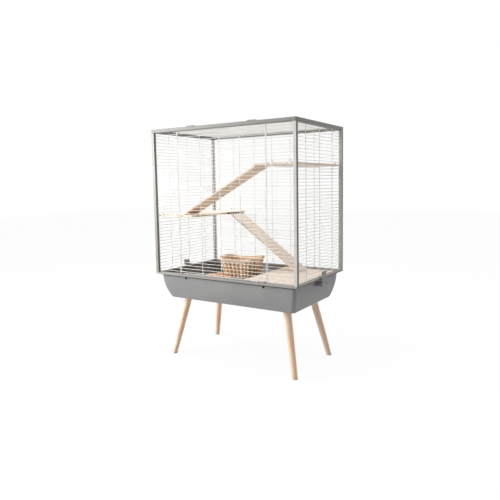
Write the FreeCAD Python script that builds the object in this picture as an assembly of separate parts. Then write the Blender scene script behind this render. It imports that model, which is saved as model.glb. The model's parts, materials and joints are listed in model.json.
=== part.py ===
# A tall small animal cage on four splayed wooden legs, in millimetres, one solid per piece.
# Frame: the origin is on the floor under the middle of the cage, +Z up, +X right, -Y front.
import FreeCAD, Part
import math
import os

# Overall sizes of the cage
FRAME_WIDTH = 775.0
FRAME_DEPTH = 475.0
CAGE_HEIGHT = 686.0
TRAY_DEPTH = 123.0
LEG_RISE = 286.0

# Rings of rails, their corner pieces and the square tube posts between them
RAIL_WIDTH = 25.0
LOWER_RAIL_HEIGHT = 8.0
UPPER_RAIL_HEIGHT = 16.0
CORNER_ROUND = 5.0
POST_SIDE = 15.0
POST_WALL = 1.5
POST_INSET = 1.0
SPIGOT_LENGTH = 24.0
GROOVE_DEPTH = 4.0

# Welded wire panels: close level wires held by a few stouter uprights
WIRE_PITCH = 15.0
LEVEL_WIRE = 2.0
UPRIGHT_WIRE = 3.0
INNER_UPRIGHT = 107.0
OUTER_UPRIGHT = 240.0
SIDE_UPRIGHT = 133.0
ROOF_UPRIGHT = 68.0

# Moulded tray: steep at the rim and drawn in towards a rounded bottom
RING_OVERHANG_END = 21.5
RING_OVERHANG_SIDE = 17.5
TRAY_DRAFT_END = 23.0
TRAY_DRAFT_SIDE = 36.0
TRAY_WALL = 3.0
TRAY_RIM_CORNER = 14.0
TRAY_CORNER_GROWTH = 5.0
TRAY_BOTTOM_ROUND = 10.0
RIM_LIP = 11.0
RIM_LIP_THICKNESS = 3.0

# Turned legs, their plates and fasteners
LEG_END_INSET = 110.5
LEG_SIDE_INSET = 109.5
LEG_SPLAY_X = 63.0
LEG_SPLAY_Y = 48.0
LEG_TOP_DIAMETER = 36.0
LEG_FOOT_DIAMETER = 25.0
FOOT_PAD_HEIGHT = 4.0
LEG_PLATE_DIAMETER = 64.0
LEG_PLATE_THICKNESS = 3.0
STUD_DIAMETER = 8.0
STUD_LENGTH = 42.0
BOLT_DIAMETER = 5.0
BOLT_CIRCLE = 52.0
BOLT_HEAD_DIAMETER = 9.0
BOLT_HEAD_HEIGHT = 3.0
BOLT_TIP = 4.0

# Front door that drops forward, roof hatch that lifts at the front
DOOR_HEIGHT = 390.0
DOOR_SIDE_GAP = 3.0
DOOR_LUG_INSET = 12.0
HATCH_GAP = 4.0
HATCH_LUG_X = 203.0
LUG_TO_LOOP = 38.0
HATCH_SINK = 3.0
HINGE_ROD = 3.0
LOOP_WALL = 1.75
LOOP_LENGTH = 8.0
LOOP_LIFT = 0.5
LUG_WALL = 2.5
LUG_LENGTH = 8.0
SWING_GAP = 0.8
LATCH_X = 60.0
LATCH_WIDTH = 14.0
LATCH_THICKNESS = 2.4
LATCH_LAP = 7.0
HATCH_CLIP_X = 165.0
HATCH_CLIP_WIDTH = 40.0
HATCH_CLIP_RISE = 6.0
HATCH_CLIP_LAP = 10.0
HATCH_CLIP_REACH = 14.0

# Swinging clips that hold the ring down on the tray's short sides
CLIP_WIDTH = 38.0
CLIP_PIVOT_DROP = 22.0
CLIP_PIVOT_OUT = 4.5
CLIP_ARM = 7.0
CLIP_NOSE_GAP = 1.0
CLIP_RING_GAP = 1.0
CLIP_NOSE_HEIGHT = 4.5
CLIP_TAB_HEIGHT = 24.0
CLIP_TAB_LEAN = 5.0
CLIP_PIN = 4.0
EAR_THICKNESS = 4.0
EAR_SIDE = 13.0

# Boards, their hooks and ledges
SHELF_WIDTH = 204.0
SHELF_THICKNESS = 9.0
SHELF_GAP = 2.0
MID_SHELF_RISE = 284.0
UPPER_SHELF_RISE = 512.0
HOOK_WIDTH = 12.0
HOOK_STRIP = 1.5
HOOK_DROP = 19.0
HOOK_LIP = 7.0
HOOK_FOOT = 20.0
HOOK_END_INSET = 21.5
HOOK_SPACING = 86.0
BOARD_WIDTH = 275.0
BOARD_PROUD = 2.0
BOARD_GAP = 2.5
LEDGE_END_INSET = 173.5
LEDGE_WIDTH = 110.0
LEDGE_REACH = 12.0
LEDGE_THICKNESS = 4.0
LEDGE_HEIGHT = 15.0
LEDGE_SCREW_DROP = 12.0
LEDGE_SCREW = 4.0
LEDGE_SCREW_HEAD = 10.0
LEDGE_HEAD_HEIGHT = 4.0

# Ramps hooked on the shelf edges
RAMP_FOOT_INSET = 142.0
RAMP_WIDTH = 105.0
RAMP_THICKNESS = 8.0
RAMP_INSET = 99.0
RAMP_GROOVE_PITCH = 26.0
RAMP_GROOVE_WIDTH = 4.0
RAMP_GROOVE_DEPTH = 2.0
RAMP_HEAD_GAP = 9.0
RAMP_ROD = 4.0
RAMP_ROD_OUT = 7.0
RAMP_LOOP = 9.0
STRAP_WIDTH = 14.0
STRAP_LENGTH = 42.0
STRAP_THICKNESS = 1.5
STRAP_SPACING = 60.0
EYE_WIDTH = 8.0
EYE_GAP = 4.0

# Woven basket and the heap of bedding in the tray
BASKET_X = -55.0
BASKET_HEAP_GAP = 18.5
BASKET_YAW = 12.0
BASKET_TOP_LENGTH = 204.0
BASKET_TOP_DEPTH = 140.0
BASKET_BASE_LENGTH = 164.0
BASKET_BASE_DEPTH = 114.0
BASKET_HEIGHT = 192.0
BASKET_WALL = 5.0
BASKET_CORNER = 40.0
BASKET_SADDLE = 10.0
HEAP_X = -105.0
HEAP_WALL_GAP = 20.5
HEAP_LENGTH = 210.0
HEAP_DEPTH = 98.0
HEAP_HEIGHT = 122.0

# Clearances
PIN_CLEARANCE = 0.25
PART_CLEARANCE = 0.3
HOLE_CLEARANCE = 0.2

# Levels and planes that the pieces share
HALF_WIDTH = FRAME_WIDTH / 2
HALF_DEPTH = FRAME_DEPTH / 2
RING_BASE = LEG_RISE + TRAY_DEPTH
RING_TOP = RING_BASE + LOWER_RAIL_HEIGHT
CAGE_TOP = RING_BASE + CAGE_HEIGHT
UPPER_BASE = CAGE_TOP - UPPER_RAIL_HEIGHT
TRAY_FLOOR = LEG_RISE + TRAY_WALL
PANEL_X = HALF_WIDTH - RAIL_WIDTH / 2
PANEL_Y = HALF_DEPTH - RAIL_WIDTH / 2
PANEL_FACE = UPRIGHT_WIRE / 2
POST_INNER_X = HALF_WIDTH - POST_INSET - POST_SIDE
POST_INNER_Y = HALF_DEPTH - POST_INSET - POST_SIDE
INNER_X = HALF_WIDTH - RAIL_WIDTH
INNER_Y = HALF_DEPTH - RAIL_WIDTH
LEG_TOP_X = HALF_WIDTH - LEG_END_INSET
LEG_TOP_Y = HALF_DEPTH - LEG_SIDE_INSET
LEDGE_X = HALF_WIDTH - LEDGE_END_INSET
RIM_X = HALF_WIDTH - RING_OVERHANG_END
RIM_Y = HALF_DEPTH - RING_OVERHANG_SIDE

# Heights of the level wires, evenly spread between the two rings
FIRST_WIRE = RING_TOP - GROOVE_DEPTH + LEVEL_WIRE / 2
LAST_WIRE = UPPER_BASE + GROOVE_DEPTH - PART_CLEARANCE - LEVEL_WIRE / 2
WIRE_GAPS = int((LAST_WIRE - FIRST_WIRE) / WIRE_PITCH)
WIRE_STEP = (LAST_WIRE - FIRST_WIRE) / WIRE_GAPS
WIRE_ROWS = [FIRST_WIRE + WIRE_STEP * row for row in range(WIRE_GAPS + 1)]


def vec(x, y, z):
    return FreeCAD.Vector(x, y, z)


def slab(x0, x1, y0, y1, z0, z1):
    """A square-edged block between two corners."""
    return Part.makeBox(x1 - x0, y1 - y0, z1 - z0, vec(x0, y0, z0))


def bar(start, end, diameter):
    """A round bar from one point to another."""
    run = end.sub(start)
    return Part.makeCylinder(diameter / 2, run.Length, start, run)


def prism(corners, along):
    """A flat outline pushed along a vector."""
    return Part.Face(Part.makePolygon(corners + corners[:1])).extrude(along)


def one(shape):
    """The single solid that a cut or a fuse leaves."""
    return shape.Solids[0]


def mirror_x(shape):
    return shape.mirror(vec(0, 0, 0), vec(1, 0, 0))


def mirror_y(shape):
    return shape.mirror(vec(0, 0, 0), vec(0, 1, 0))


def save(node, *solids):
    """Write one node, and say how many solids and how much material it holds."""
    shape = solids[0] if len(solids) == 1 else Part.makeCompound(list(solids))
    shape.exportStep("parts/" + node + ".step")
    volume = sum(solid.Volume for solid in solids) / 1000
    print(f"{node}: {len(solids)} solid(s), {volume:.2f} cm3, valid {shape.isValid()}")


def rounded_outline(half_x, half_y, radius, z, centre_x=0.0, centre_y=0.0):
    """A level rectangle with round corners, as four lines and four arcs."""
    edges = []
    for turn in range(4):
        quarter = math.pi / 2 * turn
        across = (half_x, half_y) if turn % 2 == 0 else (half_y, half_x)

        def place(u, v, quarter=quarter):
            x = u * math.cos(quarter) - v * math.sin(quarter)
            y = u * math.sin(quarter) + v * math.cos(quarter)
            return vec(centre_x + x, centre_y + y, z)

        side_start = place(across[0], -across[1] + radius)
        side_end = place(across[0], across[1] - radius)
        bend = radius * (1 - math.sqrt(0.5))
        arc_middle = place(across[0] - bend, across[1] - bend)
        arc_end = place(across[0] - radius, across[1])
        edges.append(Part.LineSegment(side_start, side_end).toShape())
        edges.append(Part.Arc(side_end, arc_middle, arc_end).toShape())
    return Part.Wire(edges)


def wire_panel(uprights, levels, place, through):
    """A welded grid as one face with a hole for every gap, pushed through the wire's thickness."""
    def outline(u0, u1, v0, v1):
        corners = [place(u0, v0), place(u1, v0), place(u1, v1), place(u0, v1)]
        return Part.makePolygon(corners + corners[:1])

    half_u = UPRIGHT_WIRE / 2
    half_v = LEVEL_WIRE / 2
    wires = [outline(uprights[0] - half_u, uprights[-1] + half_u, levels[0] - half_v, levels[-1] + half_v)]
    for left, right in zip(uprights, uprights[1:]):
        for low, high in zip(levels, levels[1:]):
            wires.append(outline(left + half_u, right - half_u, low + half_v, high - half_v))
    return one(Part.makeFace(wires, "Part::FaceMakerBullseye").extrude(through))


def even_steps(first, last, pitch):
    """Places between two ends, as near to a pitch as fits evenly."""
    gaps = int(abs(last - first) / pitch)
    return [first + (last - first) * step / gaps for step in range(gaps + 1)]


# Tray: lofted skins through rounded outlines, with a lip under the ring and ears for the side clips
def tray_outline(depth, inset, turn_in):
    """The tray's outline at a depth below the rim, drawn in by a wall and by the bottom's rounding."""
    share = (depth / TRAY_DEPTH) ** 2
    shrink = inset + turn_in
    half_x = RIM_X - TRAY_DRAFT_END * share - shrink
    half_y = RIM_Y - TRAY_DRAFT_SIDE * share - shrink
    radius = TRAY_RIM_CORNER + TRAY_CORNER_GROWTH * share - shrink
    return rounded_outline(half_x, half_y, radius, RING_BASE - depth)


def tray_skin(inset):
    """A closed body whose outside is the tray's surface, moved in by the inset."""
    bottom = TRAY_DEPTH - inset
    round_radius = TRAY_BOTTOM_ROUND - inset
    side = bottom - round_radius
    sides = [tray_outline(side * step / 4, inset, 0.0) for step in range(5)]
    rounding = []
    for angle in (0, 30, 60, 90):
        turned = math.radians(angle)
        depth = side + round_radius * math.sin(turned)
        rounding.append(tray_outline(depth, inset, round_radius * (1 - math.cos(turned))))
    return one(Part.makeLoft(sides, True, False).fuse(Part.makeLoft(rounding, True, False)))


CLIP_PIVOT_X = HALF_WIDTH + CLIP_PIVOT_OUT
CLIP_PIVOT_Z = RING_BASE - CLIP_PIVOT_DROP
EAR_INNER = CLIP_WIDTH / 2 + PART_CLEARANCE
EAR_OUTER = EAR_INNER + EAR_THICKNESS
LEG_PLATE_TOP = LEG_RISE
LEG_TOP = LEG_RISE - LEG_PLATE_THICKNESS
LEG_SIGNS = [("front_left", -1, -1), ("front_right", 1, -1), ("back_left", -1, 1), ("back_right", 1, 1)]


def bolt_places():
    """Plan positions of the two bolts of every leg plate."""
    reach = BOLT_CIRCLE / 2 * math.sqrt(0.5)
    places = []
    for _, sx, sy in LEG_SIGNS:
        for side in (-1, 1):
            places.append((sx * LEG_TOP_X + side * reach, sy * LEG_TOP_Y - side * sx * sy * reach))
    return places


def make_tray():
    body = tray_skin(0.0).cut(tray_skin(TRAY_WALL))
    lip_outer = rounded_outline(RIM_X + RIM_LIP, RIM_Y + RIM_LIP, TRAY_RIM_CORNER + RIM_LIP, RING_BASE)
    lip_inner = rounded_outline(RIM_X - TRAY_WALL / 2, RIM_Y - TRAY_WALL / 2, TRAY_RIM_CORNER, RING_BASE)
    lip = Part.makeFace([lip_outer, lip_inner], "Part::FaceMakerBullseye").extrude(vec(0, 0, -RIM_LIP_THICKNESS))
    body = body.fuse(lip)
    for sx in (-1, 1):
        for sy in (-1, 1):
            far = CLIP_PIVOT_X + EAR_SIDE / 2
            ear = slab(RIM_X - TRAY_WALL, far, EAR_INNER, EAR_OUTER,
                       CLIP_PIVOT_Z - EAR_SIDE / 2, CLIP_PIVOT_Z + EAR_SIDE / 2)
            hole = bar(vec(CLIP_PIVOT_X, EAR_INNER - 1, CLIP_PIVOT_Z), vec(CLIP_PIVOT_X, EAR_OUTER + 1, CLIP_PIVOT_Z),
                       CLIP_PIN + 2 * HOLE_CLEARANCE)
            ear = ear.cut(hole).cut(tray_skin(TRAY_WALL / 2))
            ear = mirror_x(ear) if sx < 0 else ear
            body = body.fuse(mirror_y(ear) if sy < 0 else ear)
            ledge_screw = bar(vec(sx * LEDGE_X, sy * INNER_Y, RING_BASE - LEDGE_SCREW_DROP),
                              vec(sx * LEDGE_X, sy * HALF_DEPTH, RING_BASE - LEDGE_SCREW_DROP),
                              LEDGE_SCREW + 2 * HOLE_CLEARANCE)
            body = body.cut(ledge_screw)
    for x, y in bolt_places():
        body = body.cut(bar(vec(x, y, LEG_RISE - 1), vec(x, y, TRAY_FLOOR + 1), BOLT_DIAMETER + 2 * HOLE_CLEARANCE))
    return one(body)


# Legs: tapered round legs, cut level at the floor and under their plates
def make_leg(sx, sy):
    """One leg, its pad, its plate and its stud."""
    head = vec(sx * LEG_TOP_X, sy * LEG_TOP_Y, LEG_RISE)
    foot = vec(sx * (LEG_TOP_X + LEG_SPLAY_X), sy * (LEG_TOP_Y + LEG_SPLAY_Y), 0)
    run = foot.sub(head)
    length = run.Length
    taper = (LEG_FOOT_DIAMETER - LEG_TOP_DIAMETER) / 2 / length
    spare = LEG_TOP_DIAMETER
    start = head.sub(FreeCAD.Vector(run).normalize().multiply(spare))
    top_radius = LEG_TOP_DIAMETER / 2 - taper * spare
    end_radius = LEG_FOOT_DIAMETER / 2 + taper * spare
    cone = Part.makeCone(top_radius, end_radius, length + 2 * spare, start, run)
    stud_end = head.add(FreeCAD.Vector(run).normalize().multiply(STUD_LENGTH))
    stud_run = bar(start, stud_end, STUD_DIAMETER)
    stud_hole = bar(start, stud_end.add(FreeCAD.Vector(run).normalize()), STUD_DIAMETER + 2 * HOLE_CLEARANCE)

    def between(shape, low, high):
        return one(shape.common(slab(-FRAME_WIDTH, FRAME_WIDTH, -FRAME_DEPTH, FRAME_DEPTH, low, high)))

    leg = one(between(cone, FOOT_PAD_HEIGHT, LEG_TOP).cut(stud_hole))
    pad = between(cone, 0, FOOT_PAD_HEIGHT)
    plate = bar(vec(head.x, head.y, LEG_TOP), vec(head.x, head.y, LEG_PLATE_TOP), LEG_PLATE_DIAMETER).cut(stud_hole)
    for x, y in bolt_places():
        plate = plate.cut(bar(vec(x, y, LEG_TOP - 1), vec(x, y, LEG_RISE + 1), BOLT_DIAMETER + 2 * HOLE_CLEARANCE))
    return leg, pad, one(plate), between(stud_run, 0, LEG_PLATE_TOP)


def make_bolt(x, y):
    """A leg plate's bolt: its head under the plate, its tip through the tray's floor."""
    head = bar(vec(x, y, LEG_TOP - BOLT_HEAD_HEIGHT), vec(x, y, LEG_TOP), BOLT_HEAD_DIAMETER)
    return one(head.fuse(bar(vec(x, y, LEG_TOP), vec(x, y, TRAY_FLOOR + BOLT_TIP), BOLT_DIAMETER)))


# Hinges of the door and the hatch: rods in lugs, far enough from the panels for these to swing past
HINGE_LOOP = HINGE_ROD + 2 * PIN_CLEARANCE + 2 * LOOP_WALL
LUG_SIDE = HINGE_ROD + 2 * LUG_WALL
DOOR_LUG_X = OUTER_UPRIGHT - DOOR_LUG_INSET
DOOR_LOOP_X = DOOR_LUG_X - LUG_TO_LOOP
HATCH_LOOP_X = HATCH_LUG_X - LUG_TO_LOOP
LUG_SWEEP = LUG_SIDE / 2 * math.sqrt(2) + SWING_GAP
HINGE_Y = -PANEL_Y - PANEL_FACE - LUG_SWEEP
HINGE_Z = RING_TOP + HINGE_LOOP / 2 + LOOP_LIFT
HATCH_Z = CAGE_TOP - HATCH_SINK - UPRIGHT_WIRE / 2
HATCH_ROD_Y = INNER_Y - HATCH_GAP - HINGE_LOOP / 2

# Rings: rails that butt on corner pieces, with grooves for the panels' edge wires
GROOVE_WIDTH = UPRIGHT_WIRE + 2 * PART_CLEARANCE


def make_rail(length, base, height, groove_level):
    """A rail along X on the middle line, with a groove on its upper or lower face."""
    rail = slab(-length / 2, length / 2, -RAIL_WIDTH / 2, RAIL_WIDTH / 2, base, base + height)
    groove = slab(-length, length, -GROOVE_WIDTH / 2, GROOVE_WIDTH / 2, groove_level - GROOVE_DEPTH,
                  groove_level + GROOVE_DEPTH)
    return one(rail.cut(groove))


def turned(shape):
    """A quarter turn about the Z axis."""
    copy = shape.copy()
    copy.rotate(vec(0, 0, 0), vec(0, 0, 1), 90)
    return copy


def moved(shape, x, y, z):
    copy = shape.copy()
    copy.translate(vec(x, y, z))
    return copy


def make_lug(x, y, z, back, base):
    """A lug that holds a hinge rod, down to a base level and back to a face."""
    lug = slab(x - LUG_LENGTH / 2, x + LUG_LENGTH / 2, y - LUG_SIDE / 2, back, base, z + LUG_SIDE / 2)
    return lug.cut(bar(vec(x - LUG_LENGTH, y, z), vec(x + LUG_LENGTH, y, z), HINGE_ROD + 2 * HOLE_CLEARANCE))


def make_corner(base, height, spigot_up):
    """A front right corner piece with a spigot for its post and grooves for two panels' edges."""
    block = slab(INNER_X, HALF_WIDTH, -HALF_DEPTH, -INNER_Y, base, base + height)
    outer_edges = [edge for edge in block.Edges
                   if all(abs(v.X - HALF_WIDTH) < 0.01 and abs(v.Y + HALF_DEPTH) < 0.01 for v in edge.Vertexes)]
    block = block.makeFillet(min(CORNER_ROUND, RAIL_WIDTH / 3), outer_edges)
    half = POST_SIDE / 2 - POST_WALL - PART_CLEARANCE
    x = HALF_WIDTH - POST_INSET - POST_SIDE / 2
    y = -HALF_DEPTH + POST_INSET + POST_SIDE / 2
    low = base + height if spigot_up else base - SPIGOT_LENGTH
    level = base + height if spigot_up else base
    half_groove = GROOVE_WIDTH / 2
    block = block.cut(slab(0, POST_INNER_X, -PANEL_Y - half_groove, -PANEL_Y + half_groove,
                           level - GROOVE_DEPTH, level + GROOVE_DEPTH))
    block = block.cut(slab(PANEL_X - half_groove, PANEL_X + half_groove, -POST_INNER_Y, 0,
                           level - GROOVE_DEPTH, level + GROOVE_DEPTH))
    return one(block.fuse(slab(x - half, x + half, y - half, y + half, low, low + SPIGOT_LENGTH)))


def make_post():
    """The front right post, a square tube that stands on its corner piece."""
    x = POST_INNER_X
    y = -HALF_DEPTH + POST_INSET
    tube = slab(x, x + POST_SIDE, y, y + POST_SIDE, RING_TOP, UPPER_BASE)
    bore = slab(x + POST_WALL, x + POST_SIDE - POST_WALL, y + POST_WALL, y + POST_SIDE - POST_WALL, RING_TOP, UPPER_BASE)
    return one(tube.cut(bore))


def save_corners(stem, shape):
    """One piece at each corner, from the front right one."""
    save(stem + "_front_right", shape)
    save(stem + "_front_left", mirror_x(shape))
    save(stem + "_back_right", mirror_y(shape))
    save(stem + "_back_left", mirror_x(mirror_y(shape)))


def make_rings():
    long_rail = FRAME_WIDTH - 2 * RAIL_WIDTH
    short_rail = FRAME_DEPTH - 2 * RAIL_WIDTH
    rail_y = HALF_DEPTH - RAIL_WIDTH / 2
    rail_x = HALF_WIDTH - RAIL_WIDTH / 2
    lower_long = make_rail(long_rail, RING_BASE, LOWER_RAIL_HEIGHT, RING_TOP)
    lower_short = turned(make_rail(short_rail, RING_BASE, LOWER_RAIL_HEIGHT, RING_TOP))
    front = moved(lower_long, 0, -rail_y, 0)
    for side in (-1, 1):
        front = front.fuse(make_lug(side * DOOR_LUG_X, HINGE_Y, HINGE_Z, HINGE_Y + LUG_SIDE / 2, RING_TOP))
    save("lower_rail_front", one(front))
    save("lower_rail_back", moved(lower_long, 0, rail_y, 0))
    save("lower_rail_left", moved(lower_short, -rail_x, 0, 0))
    save("lower_rail_right", moved(lower_short, rail_x, 0, 0))
    upper_long = make_rail(long_rail, UPPER_BASE, UPPER_RAIL_HEIGHT, UPPER_BASE)
    upper_short = turned(make_rail(short_rail, UPPER_BASE, UPPER_RAIL_HEIGHT, UPPER_BASE))
    back = moved(upper_long, 0, rail_y, 0)
    for side in (-1, 1):
        back = back.fuse(make_lug(side * HATCH_LUG_X, HATCH_ROD_Y, HATCH_Z, INNER_Y, HATCH_Z - LUG_SIDE / 2))
    save("upper_rail_front", moved(upper_long, 0, -rail_y, 0))
    save("upper_rail_back", one(back))
    save("upper_rail_left", moved(upper_short, -rail_x, 0, 0))
    save("upper_rail_right", moved(upper_short, rail_x, 0, 0))
    save_corners("lower_corner", make_corner(RING_BASE, LOWER_RAIL_HEIGHT, True))
    save_corners("upper_corner", make_corner(UPPER_BASE, UPPER_RAIL_HEIGHT, False))
    save_corners("post", make_post())


# Wire panels of the walls
EDGE_UPRIGHT_X = POST_INNER_X - PART_CLEARANCE - UPRIGHT_WIRE / 2
EDGE_UPRIGHT_Y = POST_INNER_Y - PART_CLEARANCE - UPRIGHT_WIRE / 2
DOOR_ROWS = int(round(DOOR_HEIGHT / WIRE_STEP))
THROUGH_Y = vec(0, UPRIGHT_WIRE, 0)
THROUGH_X = vec(UPRIGHT_WIRE, 0, 0)
THROUGH_Z = vec(0, 0, UPRIGHT_WIRE)


def front_place(u, v):
    return vec(u, -PANEL_Y - PANEL_FACE, v)


def make_wall_panels():
    across = [-INNER_UPRIGHT, 0.0, INNER_UPRIGHT]
    full = [-EDGE_UPRIGHT_X, -OUTER_UPRIGHT] + across + [OUTER_UPRIGHT, EDGE_UPRIGHT_X]
    back = wire_panel(full, WIRE_ROWS, lambda u, v: vec(u, PANEL_Y - PANEL_FACE, v), THROUGH_Y)
    save("back_panel", back)
    side_uprights = [-EDGE_UPRIGHT_Y, -SIDE_UPRIGHT, 0.0, SIDE_UPRIGHT, EDGE_UPRIGHT_Y]
    right = wire_panel(side_uprights, WIRE_ROWS, lambda u, v: vec(PANEL_X - PANEL_FACE, u, v), THROUGH_X)
    save("right_panel", right)
    save("left_panel", mirror_x(right))
    front_right = wire_panel([OUTER_UPRIGHT, EDGE_UPRIGHT_X], WIRE_ROWS, front_place, THROUGH_Y)
    save("front_panel_right", front_right)
    save("front_panel_left", mirror_x(front_right))
    end = OUTER_UPRIGHT - UPRIGHT_WIRE
    upper = wire_panel([-end] + across + [end], WIRE_ROWS[DOOR_ROWS + 1:], front_place, THROUGH_Y)
    save("front_panel_upper", upper)


# Front door: a wire panel on two loops round a rod, held shut by two spring tongues
def make_door():
    end = OUTER_UPRIGHT - UPRIGHT_WIRE - DOOR_SIDE_GAP
    levels = [HINGE_Z + LEVEL_WIRE / 2] + WIRE_ROWS[1:DOOR_ROWS + 1]
    levels = levels[:1] + [level for level in levels[1:] if level > levels[0] + 2 * LEVEL_WIRE]
    save("front_door", wire_panel([-end, -INNER_UPRIGHT, 0.0, INNER_UPRIGHT, end], levels, front_place, THROUGH_Y))
    face = -PANEL_Y - PANEL_FACE
    loops = []
    latches = []
    for side in (-1, 1):
        x = side * DOOR_LOOP_X
        half = LOOP_LENGTH / 2
        sleeve = bar(vec(x - half, HINGE_Y, HINGE_Z), vec(x + half, HINGE_Y, HINGE_Z), HINGE_LOOP)
        arm = slab(x - half, x + half, HINGE_Y, face, HINGE_Z - LEVEL_WIRE / 2, HINGE_Z + LEVEL_WIRE)
        bore = bar(vec(x - half - 1, HINGE_Y, HINGE_Z), vec(x + half + 1, HINGE_Y, HINGE_Z),
                   HINGE_ROD + 2 * PIN_CLEARANCE)
        loops.append(one(sleeve.fuse(arm).cut(bore)))
        left = side * LATCH_X - LATCH_WIDTH / 2
        foot_top = WIRE_ROWS[DOOR_ROWS] + LEVEL_WIRE
        foot = slab(left, left + LATCH_WIDTH, face - LATCH_THICKNESS, face, foot_top - LATCH_LAP - LEVEL_WIRE, foot_top)
        tongue = slab(left, left + LATCH_WIDTH, face - LATCH_THICKNESS, face - PART_CLEARANCE, foot_top,
                      WIRE_ROWS[DOOR_ROWS + 1] + LATCH_LAP)
        latches.append(one(foot.fuse(tongue)))
    save("door_hinge_loops", *loops)
    save("door_latches", *latches)


# Roof hatch: a wire panel on two loops at the back, with two clips that lie on the front rail
def make_hatch():
    end_x = INNER_X - HATCH_GAP - LEVEL_WIRE
    front_y = -INNER_Y + HATCH_GAP + UPRIGHT_WIRE
    back_y = HATCH_ROD_Y - LUG_SWEEP - UPRIGHT_WIRE / 2
    bars_y = [front_y, -ROOF_UPRIGHT, ROOF_UPRIGHT, back_y]
    base = HATCH_Z - PANEL_FACE
    panel = wire_panel(bars_y, even_steps(-end_x, end_x, WIRE_PITCH), lambda u, v: vec(v, u, base), THROUGH_Z)
    save("roof_hatch", panel)
    loops = []
    clips = []
    bar_edge = back_y + UPRIGHT_WIRE / 2
    for side in (-1, 1):
        x = side * HATCH_LOOP_X
        half = LOOP_LENGTH / 2
        sleeve = bar(vec(x - half, HATCH_ROD_Y, HATCH_Z), vec(x + half, HATCH_ROD_Y, HATCH_Z), HINGE_LOOP)
        arm = slab(x - half, x + half, bar_edge, HATCH_ROD_Y, HATCH_Z - PANEL_FACE, HATCH_Z + PANEL_FACE)
        bore = bar(vec(x - half - 1, HATCH_ROD_Y, HATCH_Z), vec(x + half + 1, HATCH_ROD_Y, HATCH_Z),
                   HINGE_ROD + 2 * PIN_CLEARANCE)
        loops.append(one(sleeve.fuse(arm).cut(bore)))
        left = side * HATCH_CLIP_X - HATCH_CLIP_WIDTH / 2
        right = left + HATCH_CLIP_WIDTH
        lap_y = -INNER_Y - HATCH_CLIP_LAP
        inner_y = -INNER_Y + HATCH_GAP + HATCH_CLIP_REACH
        cap = slab(left, right, lap_y, inner_y, CAGE_TOP + PART_CLEARANCE, CAGE_TOP + HATCH_CLIP_RISE)
        foot = slab(left, right, front_y - UPRIGHT_WIRE / 2, inner_y, HATCH_Z + PANEL_FACE, CAGE_TOP + PART_CLEARANCE)
        clips.append(one(cap.fuse(foot)))
    save("hatch_hinge_loops", *loops)
    save("hatch_clips", *clips)
    door_end = DOOR_LUG_X + LUG_LENGTH / 2
    hatch_end = HATCH_LUG_X + LUG_LENGTH / 2
    door_rod = bar(vec(-door_end, HINGE_Y, HINGE_Z), vec(door_end, HINGE_Y, HINGE_Z), HINGE_ROD)
    hatch_rod = bar(vec(-hatch_end, HATCH_ROD_Y, HATCH_Z), vec(hatch_end, HATCH_ROD_Y, HATCH_Z), HINGE_ROD)
    save("hinge_rods", door_rod, hatch_rod)


# Side clips: levers that swing out on a pin and hook over the lower ring
def make_side_clip():
    """The right clip. Its arm clears the ring's face and its nose lies over the ring."""
    half = CLIP_WIDTH / 2
    arm_inner = HALF_WIDTH + CLIP_RING_GAP
    nose_end = PANEL_X + PANEL_FACE + CLIP_NOSE_GAP
    arm_outer = arm_inner + CLIP_ARM
    nose_base = RING_TOP + PART_CLEARANCE
    nose_top = nose_base + CLIP_NOSE_HEIGHT
    tab_top = nose_top + CLIP_TAB_HEIGHT
    outline = [
        (arm_inner, CLIP_PIVOT_Z),
        (arm_inner, nose_base),
        (nose_end, nose_base),
        (nose_end, nose_top),
        (arm_inner + CLIP_ARM / 2, nose_top),
        (arm_inner + CLIP_TAB_LEAN, tab_top),
        (arm_outer + CLIP_TAB_LEAN, tab_top),
        (arm_outer, nose_top),
        (arm_outer, CLIP_PIVOT_Z),
    ]
    lever = prism([vec(x, -half, z) for x, z in outline], vec(0, CLIP_WIDTH, 0))
    eye = bar(vec(CLIP_PIVOT_X, -half, CLIP_PIVOT_Z), vec(CLIP_PIVOT_X, half, CLIP_PIVOT_Z), EAR_SIDE - 1)
    bore = bar(vec(CLIP_PIVOT_X, -half - 1, CLIP_PIVOT_Z), vec(CLIP_PIVOT_X, half + 1, CLIP_PIVOT_Z),
               CLIP_PIN + 2 * PIN_CLEARANCE)
    return one(lever.fuse(eye).cut(bore))


# Shelves hung on hooks over the level wires, and the floor board on its ledges
def nearest_row(rise):
    """The level wire whose hooks put a shelf's top nearest to a rise above the ring's base."""
    wanted = RING_BASE + rise + HOOK_DROP - SHELF_THICKNESS - LEVEL_WIRE / 2
    return min(WIRE_ROWS, key=lambda level: abs(level - wanted))


SHELF_OUTER_X = min(PANEL_X - PANEL_FACE, POST_INNER_X) - SHELF_GAP
SHELF_INNER_X = SHELF_OUTER_X - SHELF_WIDTH
SHELF_HALF_Y = min(PANEL_Y - PANEL_FACE, POST_INNER_Y) - SHELF_GAP
MID_ROW = nearest_row(MID_SHELF_RISE)
UPPER_ROW = nearest_row(UPPER_SHELF_RISE)
MID_TOP = MID_ROW + LEVEL_WIRE / 2 - HOOK_DROP + SHELF_THICKNESS
UPPER_TOP = UPPER_ROW + LEVEL_WIRE / 2 - HOOK_DROP + SHELF_THICKNESS
BOARD_TOP = RING_BASE + BOARD_PROUD
BOARD_BASE = BOARD_TOP - SHELF_THICKNESS
BOARD_X = min(INNER_X, RIM_X - TRAY_WALL) - BOARD_GAP
BOARD_Y = min(INNER_Y, RIM_Y - TRAY_WALL) - BOARD_GAP


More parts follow.
